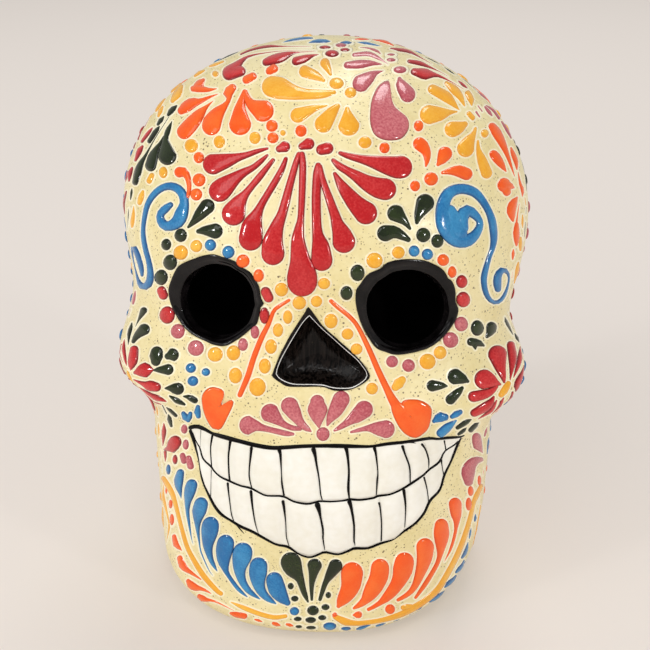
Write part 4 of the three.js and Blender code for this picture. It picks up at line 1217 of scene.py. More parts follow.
CHEEK_STROKES = {
    "red_slip": [
        [(124.5, 339.5, 1.5), (123.8, 348, 4), (125.5, 360, 3), (127, 366, 1.2)],
        [(121.5, 344, 2), (119.8, 351, 2), (121, 358, 1.8), (124, 364, 1)],
        [(130.7, 370.5, 1.5), (131.8, 366, 6.5), (133.3, 360, 9.8), (134.5, 349.8, 8.5)],
        [(135.5, 372.5, 4), (140, 371.3, 11), (145, 370, 15), (148.5, 369.8, 13), (153.5, 369.8, 2)],
        [(134, 379.5, 2), (139, 382, 3), (144.5, 384, 5.5), (150, 385.5, 10.5), (156.5, 387, 9)],
        [(138, 386.5, 1), (145, 391, 3), (152, 395.5, 5), (158, 398, 6), (166, 401.2, 2)],
        [(139, 389.5, 1), (144, 395, 1.5), (147, 397, 1)],
        [(140, 393, 1), (151, 400.5, 1.6), (156, 403, 2.6), (161, 404.3, 2)],
        [(504, 382, 2.5), (502.8, 376.5, 6), (500, 367.5, 11), (497.2, 354.8, 18.8)],
        [(510, 380, 1.5), (511.5, 368, 5), (512.2, 357, 8.6), (510.5, 345, 8)],
        [(513.5, 377.5, 1.5), (517, 368, 4), (519.5, 358, 5.5), (520.3, 346, 1.5)],
        [(524, 365, 1.5), (522.5, 372, 3.5), (519, 379, 6), (516.5, 386, 6.5), (516, 391, 3)],
        [(506, 404, 1), (509.5, 400, 3), (512.5, 395.5, 4.5), (512.5, 392.5, 3)],
        [(500, 384.3, 2.5), (495.5, 383, 7.5), (490.5, 381, 15), (484.5, 379.5, 20)],
        [(496, 386.5, 4), (490.5, 391.5, 7), (483, 394.5, 9.5), (473.5, 396.5, 10.5)],
        [(493.5, 397, 2.5), (490.5, 402, 6.5), (484.5, 407, 9), (474, 412.8, 7.5)],
        [(496.5, 400.5, 2), (493.5, 406, 4), (490, 411, 4.5), (478, 419, 1.5)],
        [(503.5, 398, 2), (501, 402.5, 4), (499, 407, 3), (491, 415, 1.2)],
    ],
    "yellow_slip": [
        [(127.5, 371, 2), (129, 376, 3.5), (133, 383, 1.5)],
        [(508, 383.5, 5), (505, 389, 7), (501, 394.5, 5.5)],
        [(156, 408, 3), (156.8, 412, 3.5), (157.5, 416, 2)],
        [(158, 424, 2), (158.5, 430, 3), (158.8, 437, 1.5)],
        [(402, 380, 7), (398.5, 383.5, 10), (395.5, 387, 7)],
    ],
    "green_slip": [
        [(135.5, 327, 1.4), (138.5, 320.5, 2.5), (144, 310.5, 7)],
        [(133.5, 341.5, 4), (137.5, 335.5, 7), (144.3, 329.5, 11.5)],
        [(132, 323, 2), (131, 328, 4), (129.3, 334, 4), (128.3, 345.5, 1.2)],
        [(156, 361, 9.5), (156.5, 356, 13.5), (157, 352.5, 12)],
        [(168.3, 356.2, 6.5), (172.3, 354.9, 13)],
        [(153.5, 370.3, 1.8), (158, 369.8, 5), (168, 369.5, 10.8)],
        [(165.5, 388.3, 2), (169.5, 388, 5), (173.5, 388.3, 9.5), (178, 388.7, 11.8)],
        [(169.8, 396, 2), (174, 398.5, 4), (178, 401, 5.5), (184.5, 404.3, 2.5)],
        [(183.8, 396.3, 1.8), (188, 396.8, 4), (192, 398.5, 6), (195, 400.3, 5.5)],
        [(162.5, 405.5, 2), (166.5, 413.5, 2)],
        [(166.8, 407.5, 2), (170.5, 410.5, 3.8), (176, 415.5, 3.5)],
        [(168.5, 414.5, 2), (169.5, 418.5, 5), (171.5, 426, 3)],
        [(487, 336.5, 3.5), (490.5, 331, 9.5), (491.3, 327, 10.5)],
        [(504.8, 317, 1.6), (506.5, 322, 4), (510, 328.5, 3), (513, 335, 1.5)],
        [(515, 334, 2.5), (517.5, 339, 5), (519, 342, 2)],
        [(483.5, 345.5, 2.5), (478.5, 343, 7), (471, 341.8, 8)], [(474.5, 344, 7), (475.3, 349, 2)],
        [(467.5, 381.3, 3), (463.5, 379.3, 9), (455.5, 376.7, 15.5)],
        [(446.5, 386, 2), (441.5, 385.5, 6.5), (432.5, 385.7, 11)],
        [(462, 388, 3), (458, 392, 7), (450.5, 399.3, 9.5)],
        [(471, 419.5, 2), (466, 422, 5), (457.5, 427.5, 4)],
        [(466.5, 427.5, 1.5), (463.5, 430.5, 4), (458.5, 434, 3)],
        [(479, 422.5, 1.5), (475.5, 425, 5), (470.5, 430, 5)],
    ],
    "blue_slip": [
        [(183.5, 413.5, 4.5), (186, 417.5, 7), (188.3, 420.5, 3.5)],
        [(190.5, 413.5, 3.8), (189.5, 417, 5.5), (188.5, 420.5, 3.5)],
        [(198, 407, 4), (197.5, 411.5, 6.5), (198.5, 416, 4.5)],
        [(434, 421, 3.5), (437.5, 418.3, 8), (441, 416.8, 9.5), (445, 417, 6.5)],
        [(452, 416.5, 4), (456, 414, 6), (460, 412, 4.5)],
        [(456, 420.5, 2), (452, 423.5, 5), (447, 427.5, 8.5), (440.8, 432.8, 8.5)],
        [(495.7, 419.5, 1.2), (495, 425, 2.8), (493, 433.8, 1)],
        [(490.5, 438.5, 1.6), (489.5, 443, 5), (487.8, 454, 2.5)],
    ],
    "pink_slip": [
        [(293, 434, 2.5), (286, 433.3, 4.8), (270, 429.5, 5), (262, 427.6, 6.5), (256.5, 425.8, 10),
         (249, 425.2, 18.5)],
        [(300, 428.5, 3.5), (293, 428, 4.5), (287, 425.8, 5), (282, 423, 6.5), (277, 419, 11),
         (270.5, 413.3, 18.5)],
        [(311, 431.3, 1.6), (307, 428.5, 5), (302.5, 425, 7), (298.5, 420, 9), (294.5, 413.5, 13.5),
         (289.8, 406, 17)],
        [(319, 427, 2), (318.5, 423, 6.5), (317.8, 416, 15), (317.5, 409, 19.5), (317.3, 402, 13.5)],
        [(327.5, 425, 2), (329.5, 420, 6), (332.5, 415, 10.5), (336, 409.5, 14), (341.2, 399.3, 16.2)],
        [(334.5, 430.5, 2), (339.5, 427.5, 4), (345, 424, 5.5), (350.5, 420, 8.5), (356, 416.3, 13),
         (364, 409.5, 17)],
        [(351, 432, 2), (357, 430.5, 3), (364, 428.8, 4), (369.5, 428, 6.5), (376, 428.3, 12),
         (385.5, 429, 17.5)],
        [(509, 313, 1.2), (513, 321, 1.6), (516, 328, 1.2)], [(518, 331, 1.4), (522, 341, 1.6)],
        [(135, 291, 2), (134, 297, 5), (133, 303, 3.5)], [(131, 309, 1.2), (128.5, 316, 1.5)],
    ],
}
CHEEK_DOTS = {
    "red_slip": [
        (167.5, 315, 15, 17), (264.5, 315.5, 9.5, 16), (461.5, 281.5, 11, 12.5), (463, 299.5, 13.5, 15),
    ],
    "yellow_slip": [
        (299.3, 302.8, 13.5, 12.5), (316.5, 301.3, 11, 10.5), (287.7, 317, 9, 13), (278, 330, 10, 13),
        (271, 346.5, 11.5, 14), (331, 321, 13, 14), (347.5, 334, 11.5, 10.5), (215.3, 354.3, 15, 14),
        (235.5, 375.5, 13, 15), (257.5, 387, 16.5, 17.5), (356.5, 349, 11.5, 10.5),
        (372, 388.5, 11.5, 11), (427.5, 361.5, 16, 15), (440, 352.5, 12.5, 12.5),
        (264.8, 366, 11.5, 14.5), (233.5, 352.8, 13.5, 14.5),
    ],
    "green_slip": [(477, 328, 12.5, 15)],
    "blue_slip": [(191, 368, 10, 9), (206, 372, 8, 7), (193, 381, 10.5, 9.2)],
    "pink_slip": [
        (178, 331.3, 13.5, 14), (196, 348, 16, 15), (255, 332, 8, 12.5), (243, 344.5, 9.5, 12),
        (461, 324, 13, 14), (450.5, 340, 15, 15), (323, 434, 13, 13), (392, 361.5, 11.5, 11),
        (408.5, 365.5, 12.5, 12),
    ],
}

# Then the jaw, the chin and the foot

JAW_STROKES = {
    "red_slip": [
        [(164, 423, 1.5), (164.2, 428, 4), (164, 433.5, 5), (162.8, 446, 1.5)],
        [(164.5, 449.5, 2.5), (168, 448.5, 6), (171.5, 447.5, 12.5), (175.3, 442, 13)],
        [(165.2, 452, 3.5), (165.5, 457, 3), (165.3, 461.5, 1.5)],
        [(160.5, 450, 1), (160.7, 455, 1.6), (160.8, 460, 1)],
    ],
    "pink_slip": [
        [(182.8, 455.5, 5.5), (184.2, 461, 5.5)], [(188.8, 458.5, 6), (190.8, 466, 6.5)],
        [(482.8, 453, 1.5), (480.5, 449.5, 5), (477.5, 445.5, 10), (476.5, 437.5, 9.5)],
        [(481.5, 459.5, 5), (477, 460, 7.5), (472.5, 462.5, 10), (469.3, 467, 12.5), (467.7, 473, 13.6),
         (468.3, 481.5, 9)],
        [(488, 427.5, 1.5), (486.5, 431.5, 4), (485.3, 436, 2.8)],
        [(491.5, 425, 1.4), (490.8, 429.5, 1.8), (490.3, 434, 1)],
    ],
    "orange_slip": [
        [(182, 550.5, 1.5), (179.3, 548, 4), (176.3, 544.5, 6), (174.2, 536.3, 4.5)],
        [(201, 579.3, 1.8), (191, 572.5, 3.8), (186.5, 569.5, 5.5), (182.8, 565.5, 7.5), (180, 558, 5.5)],
        [(211.3, 593.6, 1.4), (206.5, 590.7, 2.6), (200.5, 588.5, 4), (195.5, 587.5, 7),
         (191, 584.5, 7.5), (188.3, 581, 4.5)],
        [(234, 610.5, 1.2), (219, 603, 2), (212.5, 600.5, 2.5), (207, 599.8, 4), (203, 598.5, 6.5),
         (199.5, 596.3, 5)],
        [(231, 613.2, 3), (236, 614.3, 5.5), (244.5, 615.8, 5.5)],
        [(255, 619.3, 2), (258.5, 620.3, 2.8), (262.5, 621.8, 1.4)],
        [(273.3, 623.3, 3), (277, 624.3, 3.8), (280, 625.2, 2)],
        [(286.8, 624.3, 2.5), (290, 625, 3.2), (292.8, 625.7, 2)],
        [(353.5, 615, 2), (356.5, 614.8, 6), (358.5, 614.5, 6.5)],
        [(484.2, 468.5, 1), (484, 472, 1.8), (483.5, 475.5, 1)],
    ],
    "yellow_slip": [
        [(163.5, 478.5, 6), (171.3, 491, 5.5), (174.8, 501, 4.8), (180.2, 522, 4.2), (186, 543, 4.5),
         (190.7, 554, 4.6), (203, 574.5, 5.2), (216, 589.5, 4.5), (221, 593.5, 4)],
        [(163.8, 484, 1.5), (163, 490, 2.5), (163.2, 498, 5.5), (165.2, 506, 4), (168.8, 522, 2.4),
         (169, 528, 3), (167.8, 535, 2.2), (166.3, 543.5, 1.2)],
        [(162.3, 508, 2.5), (162.3, 514, 4.5), (162.5, 521, 4.8), (163, 528, 2)],
        [(231, 602, 1.5), (243, 607.3, 4), (259, 613.5, 4.2), (274, 617.2, 4.2), (285.5, 616, 3.4)],
        [(481, 486.5, 6), (476.3, 496, 6), (473.5, 503, 4.8), (469.5, 519.5, 5), (463, 540, 5.6),
         (454.5, 560, 5.8), (443.5, 580, 5.8), (436.8, 590, 6), (425.4, 600, 6), (411, 609, 6.5),
         (397, 615.5, 5.5), (380, 620.3, 4.6), (360, 623, 4.6), (351, 622.5, 5.5), (344, 621, 7),
         (335, 616.5, 4.5)],
        [(403, 607.5, 4.5), (407, 606.5, 5), (411.5, 606, 3.5)],
        [(481, 506, 2.5), (478, 522, 3.2), (476.8, 530, 4), (475.3, 538, 3), (473.5, 553, 3)],
    ],
    "green_slip": [
        [(308, 601.8, 1.8), (305.6, 596, 4.3), (303.3, 590, 5.5), (300, 579, 8), (297, 574, 13),
         (293.5, 568.5, 18.5), (291, 562.5, 20.5)],
        [(311.8, 599.5, 2.4), (311.7, 585, 4.4), (313.2, 574, 8.5), (314.5, 565.8, 14.2)],
        [(320, 599.3, 3), (324, 586.5, 4.5), (326.5, 580.5, 5.5), (329.5, 575.5, 8.5),
         (335.5, 566, 13.5)],
        [(161.5, 464, 1), (161.8, 468, 1.4), (162, 472, 1)],
        [(489.8, 457, 1), (489.5, 462, 1.3), (488.8, 467.5, 1)],
    ],
    "blue_slip": [
        [(357, 629, 2.5), (362, 627.5, 3.8), (370.5, 624.8, 1.5)],
        [(386, 622.8, 1.2), (381.5, 624.5, 3), (376.5, 626, 2.5)],
        [(400.5, 618.8, 1.2), (397, 620.3, 2), (393.5, 621.3, 1.4)],
        [(414, 612.7, 1.2), (409.5, 615, 1.4)], [(423, 605.5, 1.2), (420, 608, 3), (416.5, 610.3, 1.8)],
        [(444, 591.5, 3), (439.5, 595, 6), (434.5, 598.5, 6), (430.5, 601, 4)],
        [(455.5, 576, 3.5), (452.5, 580, 6), (448.5, 583.5, 5.5), (445, 587, 2.5)],
        [(464, 561, 3), (462, 565.5, 5.5), (459.2, 569, 6), (456.5, 572, 3.5)],
        [(468, 542.5, 2), (467, 547.5, 4.5), (465, 553, 5.8), (462.3, 557.3, 3.5)],
        [(471, 528, 1.6), (470.3, 533, 3), (469.3, 538, 2.2)],
        [(475.5, 514.5, 2), (475.5, 518, 4), (475, 520.5, 3)], [(479.8, 498.5, 0.9), (478.8, 503.5, 1.1)],
    ],
}
JAW_DOTS = {
    "red_slip": [(175.3, 459.5, 4.5, 9)],
    "pink_slip": [(184.5, 429, 6, 8.5), (186, 444.5, 5.5, 9.5)],
    "orange_slip": [
        (166.2, 490.5, 2, 7), (170.7, 504, 3.3, 8.5), (172, 519.5, 4, 11), (390, 609, 9.5, 9),
        (334.8, 615, 4.5, 4.5), (479.5, 480.5, 4, 10), (470.5, 491, 5, 9.5), (468.5, 504, 5.5, 12.5),
    ],
    "green_slip": [
        (290.8, 586, 5.5, 5.8), (294.8, 598.5, 7, 5), (313, 610.3, 11.5, 9), (325.5, 607, 7.8, 5.3),
        (328.3, 595, 5, 5.5), (297.8, 618.8, 7.5, 4), (310.7, 619.8, 10.5, 5.3), (322.2, 617.5, 7.8, 4.5),
        (298.8, 626.5, 6.5, 2.6), (311, 627.5, 10, 3),
    ],
    "blue_slip": [
        (168.5, 469.5, 4, 10), (294.5, 611, 9, 7.5), (329.8, 626, 13, 6.8), (346, 628.5, 10, 3),
    ],
}


# The broadest petal of the crown
PINK_PETAL = [
    (387.9, 80.6), (378.4, 85.7), (371.8, 98.9), (370, 112), (370.3, 124), (374, 134.2), (381.3, 139.3),
    (390.1, 140.8), (400.4, 139.3), (407, 132.7), (409.2, 125.4), (407, 118), (400.4, 112.1),
    (394.5, 106.3), (391.6, 98.9), (390.1, 88.7),
]


def make_front_slip():
    for part, strokes, dots in (("crown", CROWN_STROKES, CROWN_DOTS), ("cheek", CHEEK_STROKES, CHEEK_DOTS),
                                ("jaw", JAW_STROKES, JAW_DOTS)):
        for slot, glaze in SLIPS.items():
            slip = Slip()
            for knots in strokes[slot] if slot in strokes else ():
                lay(slip, photo, knots)
            for x, y, width, height in dots[slot] if slot in dots else ():
                dot(slip, photo, x, y, width, height)
            if part == "crown" and slot == "pink_slip":
                blob(slip, photo, PINK_PETAL)
            slip.finish(f"{part}_{slot}", glaze, slot)


make_front_slip()
halo.finish("front_halo", CREAM, "cream_glaze", attributes=("halo", "tone"))
halo = Slip()

# Slip on the sides and the back, which the photograph doesn't show, in the same motifs, in millimetres

SIDE_DAISY = {"turn": 108, "level": 132, "petals": 8, "step": 45, "inner": 8, "outer": 25, "width": 10.5}
BACK_DAISY = {"turn": 180, "level": 138, "petals": 8, "step": 45, "inner": 9.5, "outer": 30, "width": 12}
REAR_FAN = {"turn": 138, "level": 170, "petals": 5, "step": 27, "inner": 6, "outer": 23, "width": 7.6}
NAPE_FAN = {"turn": 180, "level": 50, "petals": 5, "step": 34, "inner": 7.5, "outer": 25, "width": 8.6}
LEAVES = {"petals": 3, "step": 42, "inner": 2.5, "outer": 13.5, "width": 5.4}
LOW_FAN = {"petals": 5, "step": 32, "inner": 4, "outer": 16, "width": 5.6}
HIGH_FAN = {"petals": 5, "step": 30, "inner": 3, "outer": 16, "width": 6}
NAPE_LEAVES = {"petals": 3, "step": 40, "inner": 2.5, "outer": 14, "width": 5.6}
HIDDEN_FACING = -0.06
HIDDEN_MIDDLE_FACING = -0.03
LOWEST_DOT = 15
LOWEST_LOOK = -58
DOT_TRIES = 4200
DOT_CLEAR = 1.5 * MM
WIDEST_STROKE = 9 * MM
DOT_RADII = (1.6, 1.9, 2.2)
DOT_SLOTS = ("yellow_slip", "orange_slip", "blue_slip", "red_slip", "pink_slip", "green_slip")
FOOT_DASHES = 30
FOOT_DASH = [(-3, -0.6, 1.6), (0, 0, 2.8), (3, 0.6, 1.4)]
PETAL_FORM = ((0, 0.24), (0.3, 0.3), (0.52, 0.55), (0.74, 0.92), (1, 1))


class Motifs:
    """Flowers, fans, leaves, scrolls and dots on patches of skin."""

    def __init__(self):
        self.slips = {slot: Slip() for slot in SLIPS}

    def stroke(self, slot, patch, knots, whole=True):
        """A stroke, left out where the photograph would show any of it, or its middle if not whole."""
        knots = [Vector(k) for k in knots]
        judged = [(k, HIDDEN_FACING - k.z / 200) for k in knots]
        if not whole:
            judged = [(knots[len(knots) // 2], HIDDEN_MIDDLE_FACING)]
        if not any(surface.in_photo(patch.spot(k), slack) for k, slack in judged):
            lay(self.slips[slot], patch, knots)

    def petal(self, slot, patch, start, end, width, bend=0, whole=True):
        along = end - start
        side = Vector((-along.y, along.x)) * bend
        run = along * (1 - 0.5 * width / along.length)
        knots = []
        for share, thick in PETAL_FORM:
            place = start + run * share + side * math.sin(share * math.pi)
            knots.append((place.x, place.y, width * thick))
        self.stroke(slot, patch, knots, whole)

    def ray(self, slot, patch, lean, inner, outer, width, bend=0, whole=True):
        way = Vector((math.sin(math.radians(lean)), math.cos(math.radians(lean))))
        self.petal(slot, patch, way * inner, way * outer, width, bend, whole)

    def spread(self, slot, patch, form, bend=0):
        """Petals that spread from the patch's middle, with the middle of the row upright."""
        for i in range(form["petals"]):
            lean = (i - (form["petals"] - 1) / 2) * form["step"]
            self.ray(slot, patch, lean, form["inner"], form["outer"], form["width"], bend)

    def flower(self, slot, heart, patch, petals, outer, width):
        self.spread(slot, patch, {
            "petals": petals, "step": 360 / petals, "inner": 0.34 * outer, "outer": outer, "width": width})
        self.dot(heart, patch, 0, 0, 0.36 * outer)

    def dot(self, slot, patch, x, y, size):
        if not surface.in_photo(patch.spot(Vector((x, y))), HIDDEN_FACING):
            dot(self.slips[slot], patch, x, y, size)

    def dot_ring(self, slots, patch, count, radius, size):
        for i in range(count):
            turn = math.radians(360 * i / count)
            self.dot(slots[i % len(slots)], patch, radius * math.sin(turn), radius * math.cos(turn), size)

    def scroll(self, slot, patch, size, mirrored):
        """A curl that opens into a long stem with a hook at its end."""
        knots = []
        for k in range(9):
            turn = math.radians(60 + 50 * k)
            reach = size * lerp(0.14, 0.5, k / 8)
            width = size * lerp(0.15, 0.24, bell((k - 3) / 3))
            knots.append((math.cos(turn) * reach, math.sin(turn) * reach, width))
        knots += [(0.46 * size, -0.5 * size, 0.15 * size), (0.38 * size, -0.95 * size, 0.13 * size),
                  (0.2 * size, -1.3 * size, 0.14 * size), (-0.08 * size, -1.32 * size, 0.1 * size)]
        if mirrored:
            knots = [(-x, y, width) for x, y, width in knots]
        self.stroke(slot, patch, knots)

    def finish(self):
        for slot, slip in self.slips.items():
            slip.finish(f"round_{slot}", SLIPS[slot], slot)


def make_side(motifs, side):
    """The slip of one side: -1 is the viewer's left."""
    plume = "blue_slip" if side < 0 else "orange_slip"
    other = "orange_slip" if side < 0 else "blue_slip"
    daisy = skin_patch(side * SIDE_DAISY["turn"], SIDE_DAISY["level"])
    motifs.spread("pink_slip", daisy, SIDE_DAISY)
    motifs.dot("yellow_slip", daisy, 0, 0, 9)
    motifs.dot_ring(("orange_slip",), daisy, 8, 24, 4)
    rear = skin_patch(side * REAR_FAN["turn"], REAR_FAN["level"])
    motifs.spread("yellow_slip", rear, REAR_FAN)
    for x in (-5.5, 0, 5.5):
        motifs.dot("red_slip", rear, x, -abs(x) * 0.3, 4.6)
    cheek = Patch(surface.under_pixel((128, 377) if side < 0 else (507, 390)))
    for lean in (12, 42, 72, 102, 132, 160):
        motifs.ray("red_slip", cheek, side * lean, 5, 20, 7, whole=False)
    for i in range(7):
        stem = skin_patch(side * (92 + 9.5 * i), 17)
        tip = Vector((side * 3, 25 - 1.2 * i))
        motifs.petal(plume, stem, Vector((side * -2.5, 0)), tip, 6.2, 0.1 * side)
    motifs.flower("red_slip", "yellow_slip", skin_patch(side * 104, 64), 8, 15, 7)
    for turn, level, lean in ((94, 172, -10), (124, 98, 20), (86, 84, -30), (128, 58, 10)):
        leaves = skin_patch(side * turn, level, -side * lean)
        motifs.spread("green_slip", leaves, LEAVES)
        motifs.dot("yellow_slip", leaves, 0, -2, 4)
    motifs.scroll("blue_slip", skin_patch(side * 143, 118, 12 * side), 16, side > 0)
    motifs.flower(other, "red_slip", skin_patch(side * 146, 78), 7, 14, 6.6)
    motifs.flower("orange_slip", "yellow_slip", skin_patch(side * 112, 182), 7, 15, 7)
    motifs.spread("pink_slip", skin_patch(side * 152, 26), LOW_FAN)


def make_back(motifs):
    daisy = skin_patch(BACK_DAISY["turn"], BACK_DAISY["level"])
    motifs.spread("red_slip", daisy, BACK_DAISY)
    motifs.dot("yellow_slip", daisy, 0, 0, 11)
    motifs.dot_ring(("orange_slip", "yellow_slip"), daisy, 8, 27, 4.6)
    nape = skin_patch(NAPE_FAN["turn"], NAPE_FAN["level"])
    motifs.spread("green_slip", nape, NAPE_FAN)
    motifs.dot("pink_slip", nape, 0, 0, 6)
    for side in (-1, 1):
        motifs.scroll("blue_slip", skin_patch(180 + side * 17, 92, -8 * side), 14, side < 0)
        motifs.flower("pink_slip", "yellow_slip", skin_patch(180 + side * 30, 187), 7, 14, 6.4)
    motifs.spread("green_slip", skin_patch(180, 178), HIGH_FAN)
    motifs.spread("yellow_slip", skin_patch(180, 78), NAPE_LEAVES)


def fill_with_dots(motifs):
    """Dots in the gaps between the motifs, wherever one fits clear of the rest."""
    tree = KDTree(len(covered))
    for i, (place, _) in enumerate(covered):
        tree.insert(place, i)
    tree.balance()
    added = []
    golden = math.pi * (3 - math.sqrt(5))
    for i in range(DOT_TRIES):
        elevation = math.degrees(math.asin(1 - 2 * (i + 0.5) / DOT_TRIES))
        bearing = math.degrees(i * golden) % 360
        if elevation < LOWEST_LOOK:
            continue
        place = surface.seen_from(bearing, elevation)
        radius = random.choice(DOT_RADII) * MM
        near = [(co, covered[k][1]) for co, k, _ in tree.find_range(place, WIDEST_STROKE)] + added
        if any((place - co).length < reach + radius + DOT_CLEAR for co, reach in near):
            continue
        if place.z < LOWEST_DOT * MM or surface.in_photo(place, HIDDEN_FACING):
            continue
        slot = DOT_SLOTS[int(bearing / 21 + elevation / 27) % len(DOT_SLOTS)]
        motifs.dot(slot, Patch(place), 0, 0, 2 * radius / MM)
        added.append((place, radius))


def add_foot_dashes(motifs):
    """Dashes round the foot of the skull, behind those that the photograph shows."""
    for i in range(FOOT_DASHES):
        patch = skin_patch(70 + i * 7.6, 8.5)
        slot = ("blue_slip", "yellow_slip", "orange_slip")[i % 3]
        motifs.stroke(slot, patch, FOOT_DASH)


def make_round_slip():
    motifs = Motifs()
    for side in (-1, 1):
        make_side(motifs, side)
    make_back(motifs)
    add_foot_dashes(motifs)
    fill_with_dots(motifs)
    motifs.finish()


make_round_slip()
halo.finish("round_halo", CREAM, "cream_glaze", attributes=("halo", "tone"))

# Cups of the eyes and the nose

def outline_ring(outline, count):
    places = curve_through(outline, closed=True)
    length = sum((b - a).length for a, b in zip(places, places[1:]))
    return evenly(places, length / count, count)[:-1]


def ringed_cup(name, rings, materials, inside_from, node_name):
    """A cup from rings of places, the first on the skin outside and the last the cup's floor."""
    count = len(rings[0])
    points = [p for ring in rings for p in ring]
    faces = []
    for i in range(len(rings) - 1):
        for j in range(count):
            a, b = i * count + j, i * count + (j + 1) % count
            faces.append((a, b, b + count, a + count))
    faces.append(tuple(range((len(rings) - 1) * count, len(points))))
    mesh = bpy.data.meshes.new(name)
    mesh.from_pydata(points, [], faces)
    piece = bpy.data.objects.new(name, mesh)
    bpy.context.scene.collection.objects.link(piece)
    for face in mesh.polygons:
        face.material_index = int(face.index >= inside_from * count)
    close(piece, inside=True)
    dress(piece, materials[0], "black_glaze", node_name)
    for material in materials[1:]:
        piece.data.materials.append(material)


def on_skin(middle, edge, share, lift):
    """A ring of places a share of the way out from a middle to an edge, lifted off the skin."""
    ring = []
    for p in edge:
        place, out = surface.nearest(middle.lerp(p, share))
        ring.append(place + out * lift * MM)
    return ring


# Steps of an eye from its painted edge in: shares and lifts of the ridge, shares and beads of the rolled
# rim, then shares of the throat and depths of the dark bowl and of the hole cut for it
THROAT_DEPTH = 4.6
RIM_ROLL = 2.8
EYE_SIDES = 104
RIDGE_STEPS = ((1.0, -SINK), (0.994, 0.18), (0.98, 0.32), (0.955, 0.32))
BRINK_SHARE = 0.93
BRINK_LIFT = 0.2
RIM_STEPS = (
    (0, 0), (0.16, 0), (0.3, 0.06), (0.37, 0.34), (0.43, 0.44), (0.49, 0.34), (0.56, 0.06), (0.72, 0),
    (0.88, 0.05), (1, 0.3),
)
BOWL_STEPS = ((1.0, 0.4), (1.04, 2), (1.1, 6), (1.1, 10), (1.0, 14), (0.75, 17), (0.35, 18.6), (0.02, 19))
EYE_HOLE_STEPS = ((1.25, 0.5), (1.28, 6), (1.28, 20))
RIM_RINGS = len(RIDGE_STEPS) + len(RIM_STEPS)
CUT_CLEAR = 12


def rolled(brink, throat, normal, heart, t, bead):
    """A place part of the way along the rim's roll from its brink to its throat, lifted by a bead."""
    crown = throat + normal * RIM_ROLL * MM
    place = brink.lerp(crown, t).lerp(crown.lerp(throat, t), t)
    lift = (normal + (heart - throat).normalized()).normalized()
    return place + lift * bead * MM


def eye_rings(eye):
    """The glazed rim from the painted edge down to the throat, then the bowl behind it, whose matte black
    is painted shade.
    """
    pixels = outline_ring(eye["outline"], EYE_SIDES)
    edge = [surface.under_pixel(p) for p in pixels]
    middle, normal = surface.nearest(sum(edge, Vector()) / EYE_SIDES)
    inward = -normal
    floor = middle + inward * THROAT_DEPTH * MM
    throat_middle = Vector(eye["throat"])
    throat = []
    for p in pixels:
        way = p - throat_middle
        turn = math.atan2(way.y, way.x)
        half = eye["throat_half"]
        ray = sight_line(throat_middle + Vector((math.cos(turn) * half[0], math.sin(turn) * half[1])))
        throat.append(camera_place + ray * ((floor - camera_place).dot(normal) / ray.dot(normal)))
    rings = [on_skin(middle, edge, share, lift) for share, lift in RIDGE_STEPS]
    ridge = rings[-1]
    brink = on_skin(middle, edge, BRINK_SHARE, BRINK_LIFT)
    heart = sum(throat, Vector()) / EYE_SIDES
    for t, bead in RIM_STEPS:
        rings.append([rolled(a, b, normal, heart, t, bead) for a, b in zip(brink, throat)])
    for share, depth in BOWL_STEPS:
        rings.append([heart + (p - heart) * share + inward * depth * MM for p in throat])
    hole = [[p - inward * CUT_CLEAR * MM for p in ridge], ridge]
    for share, depth in EYE_HOLE_STEPS:
        hole.append([heart + (p - heart) * share + inward * depth * MM for p in throat])
    return rings, hole


def cut(target, cutter):
    modifier = target.modifiers.new("cut", "BOOLEAN")
    modifier.operation = "DIFFERENCE"
    modifier.solver = "EXACT"
    modifier.object = cutter
    apply_modifiers(target)
    bpy.data.objects.remove(cutter)


def plug(rings, name):
    """A solid through rings from the outside in, which cuts a cup's opening in the shell."""
    count = len(rings[0])
    last = (len(rings) - 1) * count
    points = [p for ring in rings for p in ring]
    points += [sum(ring, Vector()) / count for ring in (rings[0], rings[-1])]
    faces = []
    for j in range(count):
        k = (j + 1) % count
        faces += [(k, j, len(points) - 2), (last + j, last + k, len(points) - 1)]
        faces += [(i + j, i + k, i + k + count, i + j + count) for i in range(0, last, count)]
    mesh = bpy.data.meshes.new(name)
    mesh.from_pydata(points, [], faces)
    solid = bpy.data.objects.new(name, mesh)
    bpy.context.scene.collection.objects.link(solid)
    close(solid)
    return solid


# Steps of the nose: shares of its border and their lifts, then shares of its bowl and their depths
NOSE_SIDES = 96
BORDER_STEPS = ((0, -SINK), (0.1, 0.22), (0.3, 0.32), (0.75, 0.3), (1.0, 0.24))
NOSE_BOWL_STEPS = (
    (0.97, 0.1), (0.94, 0.7), (0.86, 2.1), (0.75, 3.6), (0.61, 4.9), (0.45, 5.8), (0.25, 6.3), (0.03, 6.5),
)
NOSE_CUT_DEPTH = 14


def nose_rings():
    """A flat black border in to the pale line, then the recess."""
    edge = [surface.under_pixel(p) for p in outline_ring(NOSE_OUTLINE, NOSE_SIDES)]
    brink = [surface.under_pixel(p) for p in outline_ring(NOSE_LINE, NOSE_SIDES)]
    middle, normal = surface.nearest(sum(edge, Vector()) / NOSE_SIDES)
    inward = -normal
    rings = []
    for share, lift in BORDER_STEPS:
        places = [surface.nearest(a.lerp(b, share)) for a, b in zip(edge, brink)]
        rings.append([place + out * lift * MM for place, out in places])
    border = rings[-1]
    for share, depth in NOSE_BOWL_STEPS:
        rings.append([middle.lerp(p, share) + inward * depth * MM for p in brink])
    hole = [[p + inward * depth * MM for p in border] for depth in (-CUT_CLEAR, NOSE_CUT_DEPTH)]
    return rings, hole


